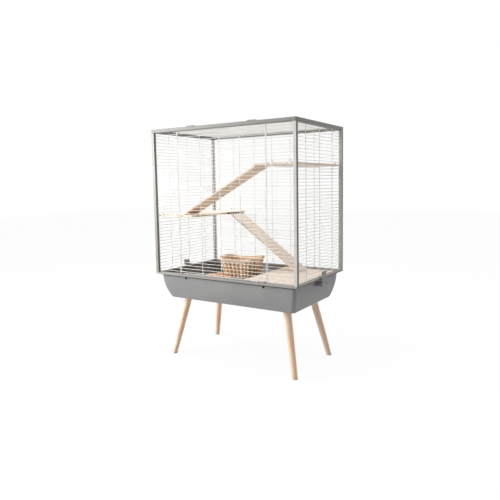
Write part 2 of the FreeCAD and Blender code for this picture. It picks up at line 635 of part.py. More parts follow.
def make_hook(x, row):
    """A back hook: over the wire, down the shelf's edge and under the shelf."""
    wire_top = row + LEVEL_WIRE / 2
    foot_top = wire_top - HOOK_DROP
    lip_inner = PANEL_Y + PANEL_FACE + PART_CLEARANCE
    lip_outer = lip_inner + HOOK_STRIP
    outline = [
        (SHELF_HALF_Y - HOOK_FOOT, foot_top - HOOK_STRIP),
        (SHELF_HALF_Y - HOOK_FOOT, foot_top),
        (SHELF_HALF_Y, foot_top),
        (SHELF_HALF_Y, wire_top + HOOK_STRIP),
        (lip_outer, wire_top + HOOK_STRIP),
        (lip_outer, wire_top - HOOK_LIP),
        (lip_inner, wire_top - HOOK_LIP),
        (lip_inner, wire_top),
        (SHELF_HALF_Y + HOOK_STRIP, wire_top),
        (SHELF_HALF_Y + HOOK_STRIP, foot_top - HOOK_STRIP),
    ]
    return prism([vec(x - HOOK_WIDTH / 2, y, z) for y, z in outline], vec(HOOK_WIDTH, 0, 0))


def make_boards():
    save("upper_shelf", slab(SHELF_INNER_X, SHELF_OUTER_X, -SHELF_HALF_Y, SHELF_HALF_Y,
                             UPPER_TOP - SHELF_THICKNESS, UPPER_TOP))
    save("mid_shelf", slab(-SHELF_OUTER_X, -SHELF_INNER_X, -SHELF_HALF_Y, SHELF_HALF_Y,
                           MID_TOP - SHELF_THICKNESS, MID_TOP))
    hooks = []
    for sx, row in ((1, UPPER_ROW), (-1, MID_ROW)):
        for inset in (HOOK_END_INSET, HOOK_END_INSET + HOOK_SPACING):
            hook = make_hook(sx * (SHELF_OUTER_X - inset), row)
            hooks += [hook, mirror_y(hook)]
    save("shelf_hooks", *hooks)
    board = slab(BOARD_X - BOARD_WIDTH, BOARD_X, -BOARD_Y, BOARD_Y, BOARD_BASE, BOARD_TOP)
    corners = [edge for edge in board.Edges if all(abs(v.X - BOARD_X) < 0.01 for v in edge.Vertexes)
               and abs(edge.Vertexes[0].Z - edge.Vertexes[-1].Z) > 0.01]
    save("floor_board", one(board.makeFillet(TRAY_RIM_CORNER, corners)))
    ledges = []
    screws = []
    screw_z = RING_BASE - LEDGE_SCREW_DROP
    wall_share = ((RING_BASE - BOARD_BASE + LEDGE_HEIGHT) / TRAY_DEPTH) ** 2
    back = RIM_Y - TRAY_WALL - TRAY_DRAFT_SIDE * wall_share - PART_CLEARANCE
    screw_share = (LEDGE_SCREW_DROP / TRAY_DEPTH) ** 2
    head_base = RIM_Y - TRAY_DRAFT_SIDE * screw_share + PART_CLEARANCE
    for sx in (-1, 1):
        x = sx * LEDGE_X
        plate = slab(x - LEDGE_WIDTH / 2, x + LEDGE_WIDTH / 2, back - LEDGE_THICKNESS, back,
                     BOARD_BASE - LEDGE_HEIGHT, BOARD_BASE)
        shelf = slab(x - LEDGE_WIDTH / 2, x + LEDGE_WIDTH / 2, back - LEDGE_REACH, back,
                     BOARD_BASE - LEDGE_THICKNESS, BOARD_BASE)
        hole = bar(vec(x, back - LEDGE_REACH - 1, screw_z), vec(x, back + 1, screw_z), LEDGE_SCREW + 2 * HOLE_CLEARANCE)
        ledge = one(plate.fuse(shelf).cut(hole))
        head = bar(vec(x, head_base, screw_z), vec(x, head_base + LEDGE_HEAD_HEIGHT, screw_z), LEDGE_SCREW_HEAD)
        shank = bar(vec(x, back - LEDGE_THICKNESS, screw_z), vec(x, head_base, screw_z), LEDGE_SCREW)
        screw = one(head.fuse(shank))
        ledges += [ledge, mirror_y(ledge)]
        screws += [screw, mirror_y(screw)]
    save("board_ledges", *ledges)
    save("ledge_screws", *screws)


# Ramps: grooved planks that hang by straps on a rod along a shelf's edge, their feet on the next level
RAMP_PIVOT_X = SHELF_INNER_X - RAMP_ROD_OUT
LOWER_RAMP_Y = SHELF_HALF_Y - RAMP_INSET
UPPER_RAMP_Y = -LOWER_RAMP_Y
RAMP_RUN = RAMP_PIVOT_X + BOARD_X - RAMP_FOOT_INSET
RAMP_REACH = math.hypot(RAMP_RUN, MID_TOP - SHELF_THICKNESS / 2 - BOARD_TOP)


def ramp_slope(drop):
    """The angle at which the plank's lower edge meets a level that is a drop below the rod."""
    half = RAMP_THICKNESS / 2
    return math.asin((drop - PART_CLEARANCE) / math.hypot(RAMP_REACH, half)) - math.atan2(half, RAMP_REACH)


def make_ramp(pivot_z, landing, centre_y):
    """The plank and its two straps, running down from a right-hand shelf."""
    half_y = RAMP_WIDTH / 2
    half_z = RAMP_THICKNESS / 2
    plank = slab(-RAMP_REACH, -RAMP_HEAD_GAP, -half_y, half_y, -half_z, half_z)
    grooves = even_steps(-RAMP_REACH, -RAMP_HEAD_GAP - STRAP_LENGTH, RAMP_GROOVE_PITCH)[1:-1]
    for x in grooves:
        plank = plank.cut(slab(x - RAMP_GROOVE_WIDTH / 2, x + RAMP_GROOVE_WIDTH / 2, -RAMP_WIDTH, RAMP_WIDTH,
                               half_z - RAMP_GROOVE_DEPTH, RAMP_THICKNESS))
    straps = []
    for side in (-1, 1):
        y = side * STRAP_SPACING / 2
        y0 = y - STRAP_WIDTH / 2
        y1 = y + STRAP_WIDTH / 2
        loop = bar(vec(0, y0, 0), vec(0, y1, 0), RAMP_LOOP)
        strap = slab(-RAMP_HEAD_GAP - STRAP_LENGTH + RAMP_GROOVE_WIDTH, 0, y0, y1, half_z, half_z + STRAP_THICKNESS)
        bore = bar(vec(0, y0 - 1, 0), vec(0, y1 + 1, 0), RAMP_ROD + 2 * PIN_CLEARANCE)
        straps.append(one(loop.fuse(strap).cut(bore)))
    slope = math.degrees(ramp_slope(pivot_z - landing))
    pieces = []
    for piece in [one(plank)] + straps:
        tilted = piece.copy()
        tilted.rotate(vec(0, 0, 0), vec(0, 1, 0), -slope)
        pieces.append(moved(tilted, RAMP_PIVOT_X, centre_y, pivot_z))
    return pieces


def make_ramp_rod(pivot_z, centre_y):
    """The rod and the two eyes that carry it on a right-hand shelf's edge."""
    end = RAMP_WIDTH / 2 + EYE_GAP + EYE_WIDTH
    rod = bar(vec(RAMP_PIVOT_X, centre_y - end, pivot_z), vec(RAMP_PIVOT_X, centre_y + end, pivot_z), RAMP_ROD)
    eyes = []
    half = SHELF_THICKNESS / 2
    for side in (-1, 1):
        low = centre_y + side * (end - EYE_WIDTH / 2) - EYE_WIDTH / 2
        eye = slab(RAMP_PIVOT_X - half, SHELF_INNER_X, low, low + EYE_WIDTH, pivot_z - half, pivot_z + half)
        hole = bar(vec(RAMP_PIVOT_X, low - 1, pivot_z), vec(RAMP_PIVOT_X, low + EYE_WIDTH + 1, pivot_z),
                   RAMP_ROD + 2 * HOLE_CLEARANCE)
        eyes.append(one(eye.cut(hole)))
    return rod, eyes


def make_ramps():
    upper_z = UPPER_TOP - SHELF_THICKNESS / 2
    lower_z = MID_TOP - SHELF_THICKNESS / 2
    upper = make_ramp(upper_z, MID_TOP, UPPER_RAMP_Y)
    lower = [mirror_x(piece) for piece in make_ramp(lower_z, BOARD_TOP, LOWER_RAMP_Y)]
    save("upper_ramp", upper[0])
    save("upper_ramp_straps", *upper[1:])
    save("lower_ramp", lower[0])
    save("lower_ramp_straps", *lower[1:])
    upper_rod, upper_eyes = make_ramp_rod(upper_z, UPPER_RAMP_Y)
    lower_rod, lower_eyes = make_ramp_rod(lower_z, LOWER_RAMP_Y)
    save("ramp_rods", upper_rod, mirror_x(lower_rod))
    save("ramp_eyes", *upper_eyes, *[mirror_x(eye) for eye in lower_eyes])
    print(f"ramp pivots: x {RAMP_PIVOT_X:.2f}, y {LOWER_RAMP_Y:.2f}, z {upper_z:.2f} and {lower_z:.2f}")


# Woven basket, an open tub that flares to a rim with raised corners, behind the heap of bedding
FLOOR_EDGE_Y = RIM_Y - TRAY_DRAFT_SIDE - TRAY_BOTTOM_ROUND
HEAP_Y = HEAP_WALL_GAP + HEAP_DEPTH / 2 - FLOOR_EDGE_Y
BASKET_Y = HEAP_Y + (HEAP_DEPTH + BASKET_BASE_DEPTH) / 2 + BASKET_HEAP_GAP


def basket_skin(inset, base):
    """A closed body with the basket's outside moved in by the inset, from a base level upwards."""
    outlines = []
    top = TRAY_FLOOR + PART_CLEARANCE + BASKET_HEIGHT
    for step in range(4):
        share = step / 3
        flare = share ** 1.5
        length = BASKET_BASE_LENGTH + (BASKET_TOP_LENGTH - BASKET_BASE_LENGTH) * flare
        depth = BASKET_BASE_DEPTH + (BASKET_TOP_DEPTH - BASKET_BASE_DEPTH) * flare
        level = base + (top - base) * share
        outlines.append(rounded_outline(length / 2 - inset, depth / 2 - inset, BASKET_CORNER - inset, level,
                                        BASKET_X, BASKET_Y))
    return Part.makeLoft(outlines, True, False)


def make_basket():
    base = TRAY_FLOOR + PART_CLEARANCE
    top = base + BASKET_HEIGHT
    tub = basket_skin(0.0, base).cut(basket_skin(BASKET_WALL, base + BASKET_WALL))
    reach = BASKET_TOP_LENGTH / 2
    radius = (reach ** 2 + BASKET_SADDLE ** 2) / (2 * BASKET_SADDLE)
    axis_z = top + radius - BASKET_SADDLE
    saddle = bar(vec(BASKET_X, BASKET_Y - BASKET_TOP_DEPTH, axis_z), vec(BASKET_X, BASKET_Y + BASKET_TOP_DEPTH, axis_z),
                 2 * radius)
    basket = one(tub.cut(saddle))
    basket.rotate(vec(BASKET_X, BASKET_Y, 0), vec(0, 0, 1), BASKET_YAW)
    return basket


def make_heap():
    """Loose bedding as a low mound with a flat base on the tray's floor, close to the front wall."""
    outlines = []
    for share in (0.0, 0.3, 0.6, 0.85, 1.0):
        spread = 1.0 - 0.82 * share ** 1.6
        level = TRAY_FLOOR + PART_CLEARANCE + HEAP_HEIGHT * share
        ring = Part.Ellipse(vec(HEAP_X, HEAP_Y, level), HEAP_LENGTH / 2 * spread, HEAP_DEPTH / 2 * spread)
        outlines.append(Part.Wire([ring.toShape()]))
    return one(Part.makeLoft(outlines, True, False))


def make_base():
    save("tray", make_tray())
    pads = []
    plates = []
    studs = []
    for place, sx, sy in LEG_SIGNS:
        leg, pad, plate, stud = make_leg(sx, sy)
        save("leg_" + place, leg)
        pads.append(pad)
        plates.append(plate)
        studs.append(stud)
    save("foot_pads", *pads)
    save("leg_plates", *plates)
    save("leg_studs", *studs)
    save("leg_bolts", *[make_bolt(x, y) for x, y in bolt_places()])


def make_side_clips():
    clip = make_side_clip()
    pin = bar(vec(CLIP_PIVOT_X, -EAR_OUTER, CLIP_PIVOT_Z), vec(CLIP_PIVOT_X, EAR_OUTER, CLIP_PIVOT_Z), CLIP_PIN)
    save("side_clip_right", clip)
    save("side_clip_left", mirror_x(clip))
    save("side_clip_pins", pin, mirror_x(pin))


os.makedirs("parts", exist_ok=True)
make_base()
make_rings()
make_wall_panels()
make_door()
make_hatch()
make_side_clips()
make_boards()
make_ramps()
save("woven_basket", make_basket())
save("bedding", make_heap())
print(f"hinges: door y {HINGE_Y:.2f} z {HINGE_Z:.2f}, hatch y {HATCH_ROD_Y:.2f} z {HATCH_Z:.2f}")
print(f"clip pivot x {CLIP_PIVOT_X:.2f} z {CLIP_PIVOT_Z:.2f}")
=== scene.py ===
# %% [markdown]
# # Dressing a small animal cage
# The cage is a tall box of white wire in a grey frame, on a moulded tray with turned wooden legs.
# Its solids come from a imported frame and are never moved. This lesson gives every solid its finish,
# and swaps the stand-ins for what they stand for: round welded wire, woven wood strip, loose shavings.

# %% Load the frame
import json
import math
import random

import bpy
import numpy as np
from mathutils import Matrix, Vector, noise


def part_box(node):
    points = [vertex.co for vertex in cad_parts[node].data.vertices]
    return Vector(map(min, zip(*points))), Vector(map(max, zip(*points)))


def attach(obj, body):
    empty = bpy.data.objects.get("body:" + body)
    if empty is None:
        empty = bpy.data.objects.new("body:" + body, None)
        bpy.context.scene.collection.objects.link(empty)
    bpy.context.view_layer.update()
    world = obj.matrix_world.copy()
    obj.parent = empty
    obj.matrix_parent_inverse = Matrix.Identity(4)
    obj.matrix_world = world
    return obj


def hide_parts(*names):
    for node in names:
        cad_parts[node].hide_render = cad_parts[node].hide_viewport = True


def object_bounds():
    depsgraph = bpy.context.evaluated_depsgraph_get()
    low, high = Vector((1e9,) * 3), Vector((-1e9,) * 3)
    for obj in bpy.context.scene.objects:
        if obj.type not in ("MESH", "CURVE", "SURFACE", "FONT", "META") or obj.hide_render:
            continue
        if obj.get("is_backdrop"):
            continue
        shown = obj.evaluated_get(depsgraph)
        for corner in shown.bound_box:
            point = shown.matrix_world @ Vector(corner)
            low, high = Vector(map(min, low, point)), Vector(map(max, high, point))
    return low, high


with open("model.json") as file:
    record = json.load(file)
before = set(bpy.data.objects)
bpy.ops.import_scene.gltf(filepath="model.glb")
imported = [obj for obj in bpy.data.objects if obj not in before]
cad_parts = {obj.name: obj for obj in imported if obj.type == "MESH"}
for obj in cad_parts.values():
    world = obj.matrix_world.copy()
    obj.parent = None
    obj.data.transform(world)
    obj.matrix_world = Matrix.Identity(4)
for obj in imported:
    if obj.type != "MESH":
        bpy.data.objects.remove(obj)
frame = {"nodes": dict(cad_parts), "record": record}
cad_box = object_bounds()
MM = 0.001

# %% [markdown]
# ## Colours and shader nodes
# Colours are written as sRGB hex, the way a paint card or a colour picker gives them. Shaders work in
# linear light, so one function turns them over. Node trees could be drawn by hand or grouped, but a
# script reads best when one small function adds a node, sets it and links its inputs in one line.


# %% Colour and node helpers
def linear(hex_colour):
    """An sRGB hex colour as linear red, green, blue and alpha."""
    parts = [int(hex_colour[i:i + 2], 16) / 255 for i in (1, 3, 5)]
    return [c / 12.92 if c <= 0.04045 else ((c + 0.055) / 1.055) ** 2.4 for c in parts] + [1.0]


def add(tree, kind, settings=None, **inputs):
    """Add a node, set its attributes, and set or link its inputs.

    An input goes by its name, with underscores for spaces, or by its place, as in0, in1 and so on.
    A colour ramp's stops are pairs of a position and a hex colour.
    """
    node = tree.nodes.new(kind)
    settings = dict(settings or {})
    stops = settings.pop("stops", ())
    for name, value in settings.items():
        setattr(node, name, value)
    for i, (place, colour) in enumerate(stops):
        elements = node.color_ramp.elements
        element = elements[i] if i < 2 else elements.new(place)
        element.position = place
        element.color = linear(colour)
    for name, value in inputs.items():
        by_place = name[:2] == "in" and name[2:].isdigit()
        socket = node.inputs[int(name[2:]) if by_place else name.replace("_", " ")]
        if isinstance(value, bpy.types.NodeSocket):
            tree.links.new(value, socket)
        else:
            socket.default_value = value
    return node


print("mid grey in linear light:", [round(part, 3) for part in linear("#808080")])


# %% Material helpers
def new_material(name):
    """A material with an empty node tree."""
    material = bpy.data.materials.new(name)
    material.use_nodes = True
    material.node_tree.nodes.clear()
    return material, material.node_tree


def surface(tree, **sockets):
    """Close a material with its surface shader."""
    shader = add(tree, "ShaderNodeBsdfPrincipled", **sockets)
    add(tree, "ShaderNodeOutputMaterial", Surface=shader.outputs[0])


def per_metre(size_mm):
    """The texture scale that draws features of a size in millimetres."""
    return 1 / (size_mm * MM)


print("scale of a 2 mm pattern:", per_metre(2.0))

# %% [markdown]
# ## Grey moulded plastic
# The tray is injection moulded polypropylene. The rings and clips are moulded ABS, lighter in the lower
# ring and warmer in the upper one. The tool is spark eroded, which leaves a fine matt grain, so highlights
# are broad and soft. The real grain is about 0.4 mm, too fine to show, so it is drawn at 1.2 mm. Large
# faint clouds stand for the flow of the melt. A dark line on the tray just under the lower ring is painted
# shadow, another runs along the foot of the upper ring, and the faces of the lower ring that look along X
# carry painted shade. These are bands of colour.


# %% Painted side shade and painted shadow lines
def painted_side_shading(tree, colour, strip):
    """A colour that gives way to another on the faces that look along X: painted light and shade."""
    normal = add(tree, "ShaderNodeTexCoord").outputs["Normal"]
    along_x = add(tree, "ShaderNodeSeparateXYZ", Vector=normal).outputs["X"]
    sideways = add(tree, "ShaderNodeMath", {"operation": "ABSOLUTE"}, in0=along_x).outputs[0]
    # How far a face looks along X, which decides where the painted light and shade lie.
    side_facing = add(tree, "ShaderNodeMapRange", Value=sideways, From_Min=0.70, From_Max=0.75).outputs[0]
    both = add(tree, "ShaderNodeMix", {"data_type": "RGBA"}, in0=side_facing, in6=colour, in7=linear(strip))
    return both.outputs[2]


def painted_shadow_band(tree, place, colour, low, high, rubber):
    """A colour that gives way to a darker colour between two heights: a painted shadow line."""
    # The band is painted shadow; the last argument is the colour of that shade.
    height = add(tree, "ShaderNodeSeparateXYZ", Vector=place).outputs["Z"]
    inside = add(tree, "ShaderNodeMath", {"operation": "COMPARE"}, in0=height, in1=(low + high) / 2,
                 in2=(high - low) / 2).outputs[0]
    both = add(tree, "ShaderNodeMix", {"data_type": "RGBA"}, in0=inside, in6=colour, in7=linear(rubber))
    return both.outputs[2]


# %% Moulded plastic
def moulded_plastic(name, body, cloud, roughness, shadow_band=None, strip=None, grain_mm=1.2, flow_mm=90.0):
    """Satin moulded plastic: faint clouds in the colour, fine grain in the surface.

    Where named, a painted shadow band is two heights and a colour, and painted side shade is a colour.
    """
    material, tree = new_material(name)
    place = add(tree, "ShaderNodeTexCoord").outputs["Object"]
    flow = add(tree, "ShaderNodeTexNoise", Vector=place, Scale=per_metre(flow_mm), Detail=3.0).outputs[0]
    grain = add(tree, "ShaderNodeTexNoise", Vector=place, Scale=per_metre(grain_mm), Detail=2.0).outputs[0]
    clouds = add(tree, "ShaderNodeValToRGB", {"stops": [(0.32, cloud), (0.68, body)]}, Fac=flow)
    sheen = add(tree, "ShaderNodeMapRange", Value=flow, To_Min=roughness - 0.06, To_Max=roughness + 0.06)
    bump = add(tree, "ShaderNodeBump", Strength=0.18, Distance=0.12 * MM, Height=grain)
    colour = clouds.outputs[0]
    # Painted shadow: a darker band between two heights.
    if shadow_band:
        colour = painted_shadow_band(tree, place, colour, *shadow_band)
    # Painted shade on the faces that look along X.
    if strip:
        colour = painted_side_shading(tree, colour, strip)
    surface(tree, Base_Color=colour, Roughness=sheen.outputs[0], IOR=1.49, Normal=bump.outputs[0])
    return material


# %% Plastics of the cage
# Heights of the painted shadow lines.
TRAY_SHADOW_LOW = 9.0 * MM
TRAY_SHADOW_HIGH = 3.0 * MM
ROOF_SHADOW_HEIGHT = 4.0 * MM

ring_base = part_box("lower_rail_left")[0].z
roof_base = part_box("upper_rail_left")[0].z
# Painted shadow lines: a band on the tray just under the lower ring, and one along the upper ring's foot.
tray_shadow_band = (ring_base - TRAY_SHADOW_LOW, ring_base - TRAY_SHADOW_HIGH, "#55524F")
roof_shadow_band = (roof_base, roof_base + ROOF_SHADOW_HEIGHT, "#75726F")
tray_plastic = moulded_plastic("Moulded polypropylene, grey, painted shadow line", "#959594", "#8E8E8E", 0.46, shadow_band=tray_shadow_band)
# The lower ring's faces that look along X carry painted shade.
ring_plastic = moulded_plastic("Moulded ABS, light grey, painted side shade", "#A09D98", "#979490", 0.42, strip="#716963")
roof_plastic = moulded_plastic("Moulded ABS, warm grey, painted shadow line", "#86847F", "#7D7B77", 0.42, shadow_band=roof_shadow_band)
clip_plastic = moulded_plastic("Moulded ABS, mid grey", "#8B8987", "#82807D", 0.40)
cap_plastic = moulded_plastic("Moulded nylon, black", "#1B1A19", "#141313", 0.38)
print(f"plastics: tray, two rings, clip, cap; painted shadow lines near {ring_base / MM:.0f} and {roof_base / MM:.0f} mm")

# %% [markdown]
# ## Coated steel
# The posts are steel tube under a grey powder coat, and the walls are wire dipped in white. Powder
# melts into a skin with a soft orange peel about 2 mm across, so its highlights waver a little. The peel
# could be modelled, but it is a tenth of a millimetre deep, so a bump gives it. The four posts share one
# coat, and each gets the grey that it shows in the photograph, so their greys are painted light and
# shade. A strip of another grey covers the faces that look along X: painted shade on three posts and
# painted light on the back left one. Hinge rods are mid grey, and the hooks and eyes of the ramps are
# black enamel on wire.


# %% Coated steel
def coated_steel(name, body, shade, roughness, strip=None, peel_mm=2.0, peel=0.10):
    """Powder coat, dip coat or enamel on steel: a dielectric skin with orange peel.

    A strip, where its colour is named, covers the faces that look along X: painted light and shade.
    """
    material, tree = new_material(name)
    place = add(tree, "ShaderNodeTexCoord").outputs["Object"]
    tone = add(tree, "ShaderNodeTexNoise", Vector=place, Scale=per_metre(60.0), Detail=2.0).outputs[0]
    skin = add(tree, "ShaderNodeTexNoise", Vector=place, Scale=per_metre(peel_mm), Detail=1.0).outputs[0]
    colour = add(tree, "ShaderNodeValToRGB", {"stops": [(0.35, shade), (0.65, body)]}, Fac=tone).outputs[0]
    bump = add(tree, "ShaderNodeBump", Strength=peel, Distance=0.1 * MM, Height=skin)
    # Painted light and shade on the faces that look along X.
    if strip:
        colour = painted_side_shading(tree, colour, strip)
    surface(tree, Base_Color=colour, Roughness=roughness, IOR=1.5, Normal=bump.outputs[0])
    return material


# %% Coats of posts, wire and rods
# One powder coat on all four posts: each post's grey and strip are painted light and shade.
POST_LIT_GREYS = {"post_front_right": ("#D4D1CD", "#CBC8C4", "#5E5956"),
              "post_back_right": ("#C6C3BF", "#BDBAB6", "#5E5956"),
              "post_front_left": ("#9A9793", "#918E8A", "#8A8581"),
              "post_back_left": ("#7F7C79", "#767370", "#85827E")}

post_lit_coats = {}
for post, (body, shade, strip) in POST_LIT_GREYS.items():
    title = "Powder coat on steel tube, " + post.replace("_", " ")
    post_lit_coats[post] = coated_steel(title, body, shade, 0.34, strip)
white_wire = coated_steel("Dip coat on steel wire, white", "#EFEEEA", "#E7E5E0", 0.32,
                          peel_mm=1.5, peel=0.06)
rod_coat = coated_steel("Powder coat on steel rod, mid grey", "#A5A29D", "#9C9994", 0.34)
dark_steel = coated_steel("Black enamel on steel wire", "#2E2A27", "#231F1D", 0.36)
print("coats:", len(post_lit_coats), "posts, white wire, rods, dark fittings")

# %% [markdown]
# ## Zinc plate
# Leg plates, studs, bolts and clip pins are zinc plated. Fresh zinc is a bright grey metal with a mottled
# spangle. Plain metal would look like chrome, so a cell pattern gives each patch of about 5 mm its own grey
# and its own dullness.


# %% Zinc plate
def zinc_plate(name, spangle_mm=5.0):
    """Zinc plating: a metal with a mottled spangle."""
    material, tree = new_material(name)
    place = add(tree, "ShaderNodeTexCoord").outputs["Object"]
    spangle = add(tree, "ShaderNodeTexVoronoi", Vector=place, Scale=per_metre(spangle_mm))
    cell = add(tree, "ShaderNodeSeparateColor", Color=spangle.outputs["Color"]).outputs[0]
    colour = add(tree, "ShaderNodeValToRGB", {"stops": [(0.0, "#A9ABAD"), (1.0, "#C2C3C4")]}, Fac=cell)
    dull = add(tree, "ShaderNodeMapRange", Value=cell, To_Min=0.28, To_Max=0.46)
    surface(tree, Base_Color=colour.outputs[0], Metallic=1.0, Roughness=dull.outputs[0])
    return material


zinc = zinc_plate("Zinc plated steel")
print("metal:", zinc.name)

# %% [markdown]
# ## Wood
# Legs are turned beech under clear lacquer: pale pink with short dark flecks. Shelves, board and ramps
# are birch plywood: a pale sanded face, and edges on which thin plies alternate in tone. On the ramps,
# faces that look down are browner. Rings of a log could be cut through, but these faces are peeled or
# turned with no clear rings, so noise is pulled out along the grain: a fine one for fibres, a broad one for
# the figure. Real fibres are too fine to show, so they are drawn 1.6 mm wide.


# %% Grain of wood
def fibres(tree, place, axis, width_mm, stretch):
    """Noise pulled out along an axis: strands of a width, longer by the stretch."""
    pull = [1.0, 1.0, 1.0]
    pull[axis] = 1 / stretch
    pulled = add(tree, "ShaderNodeVectorMath", {"operation": "MULTIPLY"}, in0=place, in1=pull).outputs[0]
    strands = add(tree, "ShaderNodeTexNoise", Vector=pulled, Scale=per_metre(width_mm), Detail=3.0)
    return strands.outputs["Fac"]


def grain_colour(tree, place, axis, tones):
    """Colour from figure and fibres together, and the fibres alone for the relief."""
    fine = fibres(tree, place, axis, width_mm=1.6, stretch=28)
    broad = fibres(tree, place, axis, width_mm=13.0, stretch=12)
    mixed = add(tree, "ShaderNodeMix", in0=0.55, in2=fine, in3=broad).outputs[0]
    stops = list(zip((0.36, 0.5, 0.66), tones))
    return add(tree, "ShaderNodeValToRGB", {"stops": stops}, Fac=mixed).outputs[0], fine


# %% Turned beech
BEECH = ("#F4C8A4", "#FCDABE", "#FFE8D7")
BEECH_FLECK = "#A67B55"


def beech(name):
    """Turned beech under lacquer, its grain along the piece's own Z."""
    material, tree = new_material(name)
    place = add(tree, "ShaderNodeTexCoord").outputs["Object"]
    colour, fine = grain_colour(tree, place, 2, BEECH)
    fleck = fibres(tree, place, 2, width_mm=1.3, stretch=8)
    dark = add(tree, "ShaderNodeMapRange", Value=fleck, From_Min=0.62, From_Max=0.74, To_Max=0.45)
    flecked = add(tree, "ShaderNodeMix", {"data_type": "RGBA"}, in0=dark.outputs[0], in6=colour,
                  in7=linear(BEECH_FLECK))
    bump = add(tree, "ShaderNodeBump", Strength=0.15, Distance=0.1 * MM, Height=fine)
    surface(tree, Base_Color=flecked.outputs[2], Roughness=0.36, IOR=1.5, Normal=bump.outputs[0])
    return material


leg_beech = beech("Turned beech, clear lacquer")
print("legs:", leg_beech.name)

# %% Birch plywood
BIRCH = ("#E8D5C2", "#F1E3D5", "#F7EDE2")
DARK_PLY = "#BE9468"
# The colour that faces looking down turn towards.
DOWNWARD_BROWN = "#EBBE90"


def plywood(name, tones, axis, tilt=0.0, downward_brown=0.0, ply_mm=1.5):
    """Birch plywood whose grain runs along an axis, on a board tilted about Y by an angle.

    Faces that look down are browner than the sanded face, by a share given as the last argument.
    """
    material, tree = new_material(name)
    coordinates = add(tree, "ShaderNodeTexCoord").outputs
    level = (0.0, tilt, 0.0)
    place = add(tree, "ShaderNodeMapping", Vector=coordinates["Object"], Rotation=level).outputs[0]
    facing = add(tree, "ShaderNodeMapping", Vector=coordinates["Normal"], Rotation=level).outputs[0]
    colour, fine = grain_colour(tree, place, axis, tones)
    upward = add(tree, "ShaderNodeSeparateXYZ", Vector=facing).outputs["Z"]
    flat = add(tree, "ShaderNodeMath", {"operation": "ABSOLUTE"}, in0=upward).outputs[0]
    edge = add(tree, "ShaderNodeMapRange", Value=flat, From_Min=0.8, From_Max=0.3, To_Max=0.6).outputs[0]
    # A wave turns by 20 radians in a unit, and one full turn is a dark ply and a pale one.
    plies = add(tree, "ShaderNodeTexWave", {"bands_direction": "Z"}, Vector=place, Distortion=0.4,
                Scale=math.pi / 20 * per_metre(ply_mm)).outputs["Fac"]
    layer = add(tree, "ShaderNodeMath", {"operation": "MULTIPLY"}, in0=edge, in1=plies).outputs[0]
    banded = add(tree, "ShaderNodeMix", {"data_type": "RGBA"}, in0=layer, in6=colour, in7=linear(DARK_PLY))
    # Faces that look down turn browner.
    back = add(tree, "ShaderNodeMapRange", Value=upward, From_Min=-0.3, From_Max=-0.8, To_Max=downward_brown)
    backed = add(tree, "ShaderNodeMix", {"data_type": "RGBA"}, in0=back.outputs[0], in6=banded.outputs[2],
                 in7=linear(DOWNWARD_BROWN))
    bump = add(tree, "ShaderNodeBump", Strength=0.2, Distance=0.12 * MM, Height=fine)
    surface(tree, Base_Color=backed.outputs[2], Roughness=0.55, IOR=1.5, Normal=bump.outputs[0])
    return material


shelf_birch = plywood("Birch plywood, sanded", BIRCH, axis=1)
print("shelves:", shelf_birch.name)

# %% [markdown]
# ## Dressing the solids that keep their shape
# Rails, posts, boards and fittings are right as they are, but a solid from a modeller has knife edges,
# and real edges catch a line of light. So the imported triangles are welded and dissolved back to plain
# faces, and a bevel of the real edge radius goes on. These are modifiers, so the solid is untouched.


# %% Softened edges
def soften(solid, edge_mm):
    """Round the sharp edges of a solid by a radius."""
    weld = solid.modifiers.new("weld", "WELD")
    weld.merge_threshold = 0.01 * MM
    plain = solid.modifiers.new("plain faces", "DECIMATE")
    plain.decimate_type = "DISSOLVE"
    plain.angle_limit = math.radians(1.0)
    bevel = solid.modifiers.new("edge radius", "BEVEL")
    bevel.width = edge_mm * MM
    bevel.segments = 3
    bevel.angle_limit = math.radians(40)
    solid.modifiers.new("even shading", "WEIGHTED_NORMAL")


def dress(names, material, edge_mm=0.0):
    """Give solids a finish and, where a radius is named, rounded edges."""
    for name in names:
        solid = frame["nodes"][name]
        solid.data.materials.clear()
        solid.data.materials.append(material)
        if edge_mm:
            soften(solid, edge_mm)


def named(*stems):
    """The solids whose names start with one of these words."""
    return sorted(name for name in frame["nodes"] if name.startswith(stems))


# %% Finishes and edges of the solids
dress(["tray"], tray_plastic)
dress(named("lower_rail", "lower_corner"), ring_plastic, edge_mm=1.5)
dress(named("upper_rail", "upper_corner"), roof_plastic, edge_mm=1.5)
for post, coat in post_lit_coats.items():
    dress([post], coat, edge_mm=1.2)
dress(["upper_shelf", "mid_shelf", "floor_board"], shelf_birch, edge_mm=0.8)
dress(["shelf_hooks"], white_wire, edge_mm=0.4)
dress(["ramp_eyes"], dark_steel, edge_mm=0.4)
dress(["ramp_rods", "hinge_rods"], rod_coat)
dress(["board_ledges"], tray_plastic, edge_mm=0.6)
dress(["side_clip_left", "side_clip_right"], clip_plastic, edge_mm=1.0)
dress(["hatch_clips"], clip_plastic, edge_mm=1.6)
dress(["leg_plates"], zinc, edge_mm=0.4)
dress(["leg_studs", "leg_bolts", "side_clip_pins"], zinc)
print("solids with softened edges:", sum(1 for solid in frame["nodes"].values() if solid.modifiers))

# %% [markdown]
# ## Ramp planks
# The ramps are grooved planks of the same plywood. Their grain runs down the slope, and the shelves'
# finish would cut level through them. So each ramp's finish is laid in coordinates turned level by its
# own slope, read from its hinge and its foot.

# %% Ramp planks
RAMPS = ("upper_ramp", "lower_ramp")
# How far the ramps' faces that look down turn browner.
RAMP_DOWNWARD_BROWN = 0.5


def joint_place(joint_name):
    """The point that a joint turns about."""
    joints = frame["record"]["behaviour"]["joints"]
    return next(joint["pos_m"] for joint in joints if joint["name"] == joint_name)


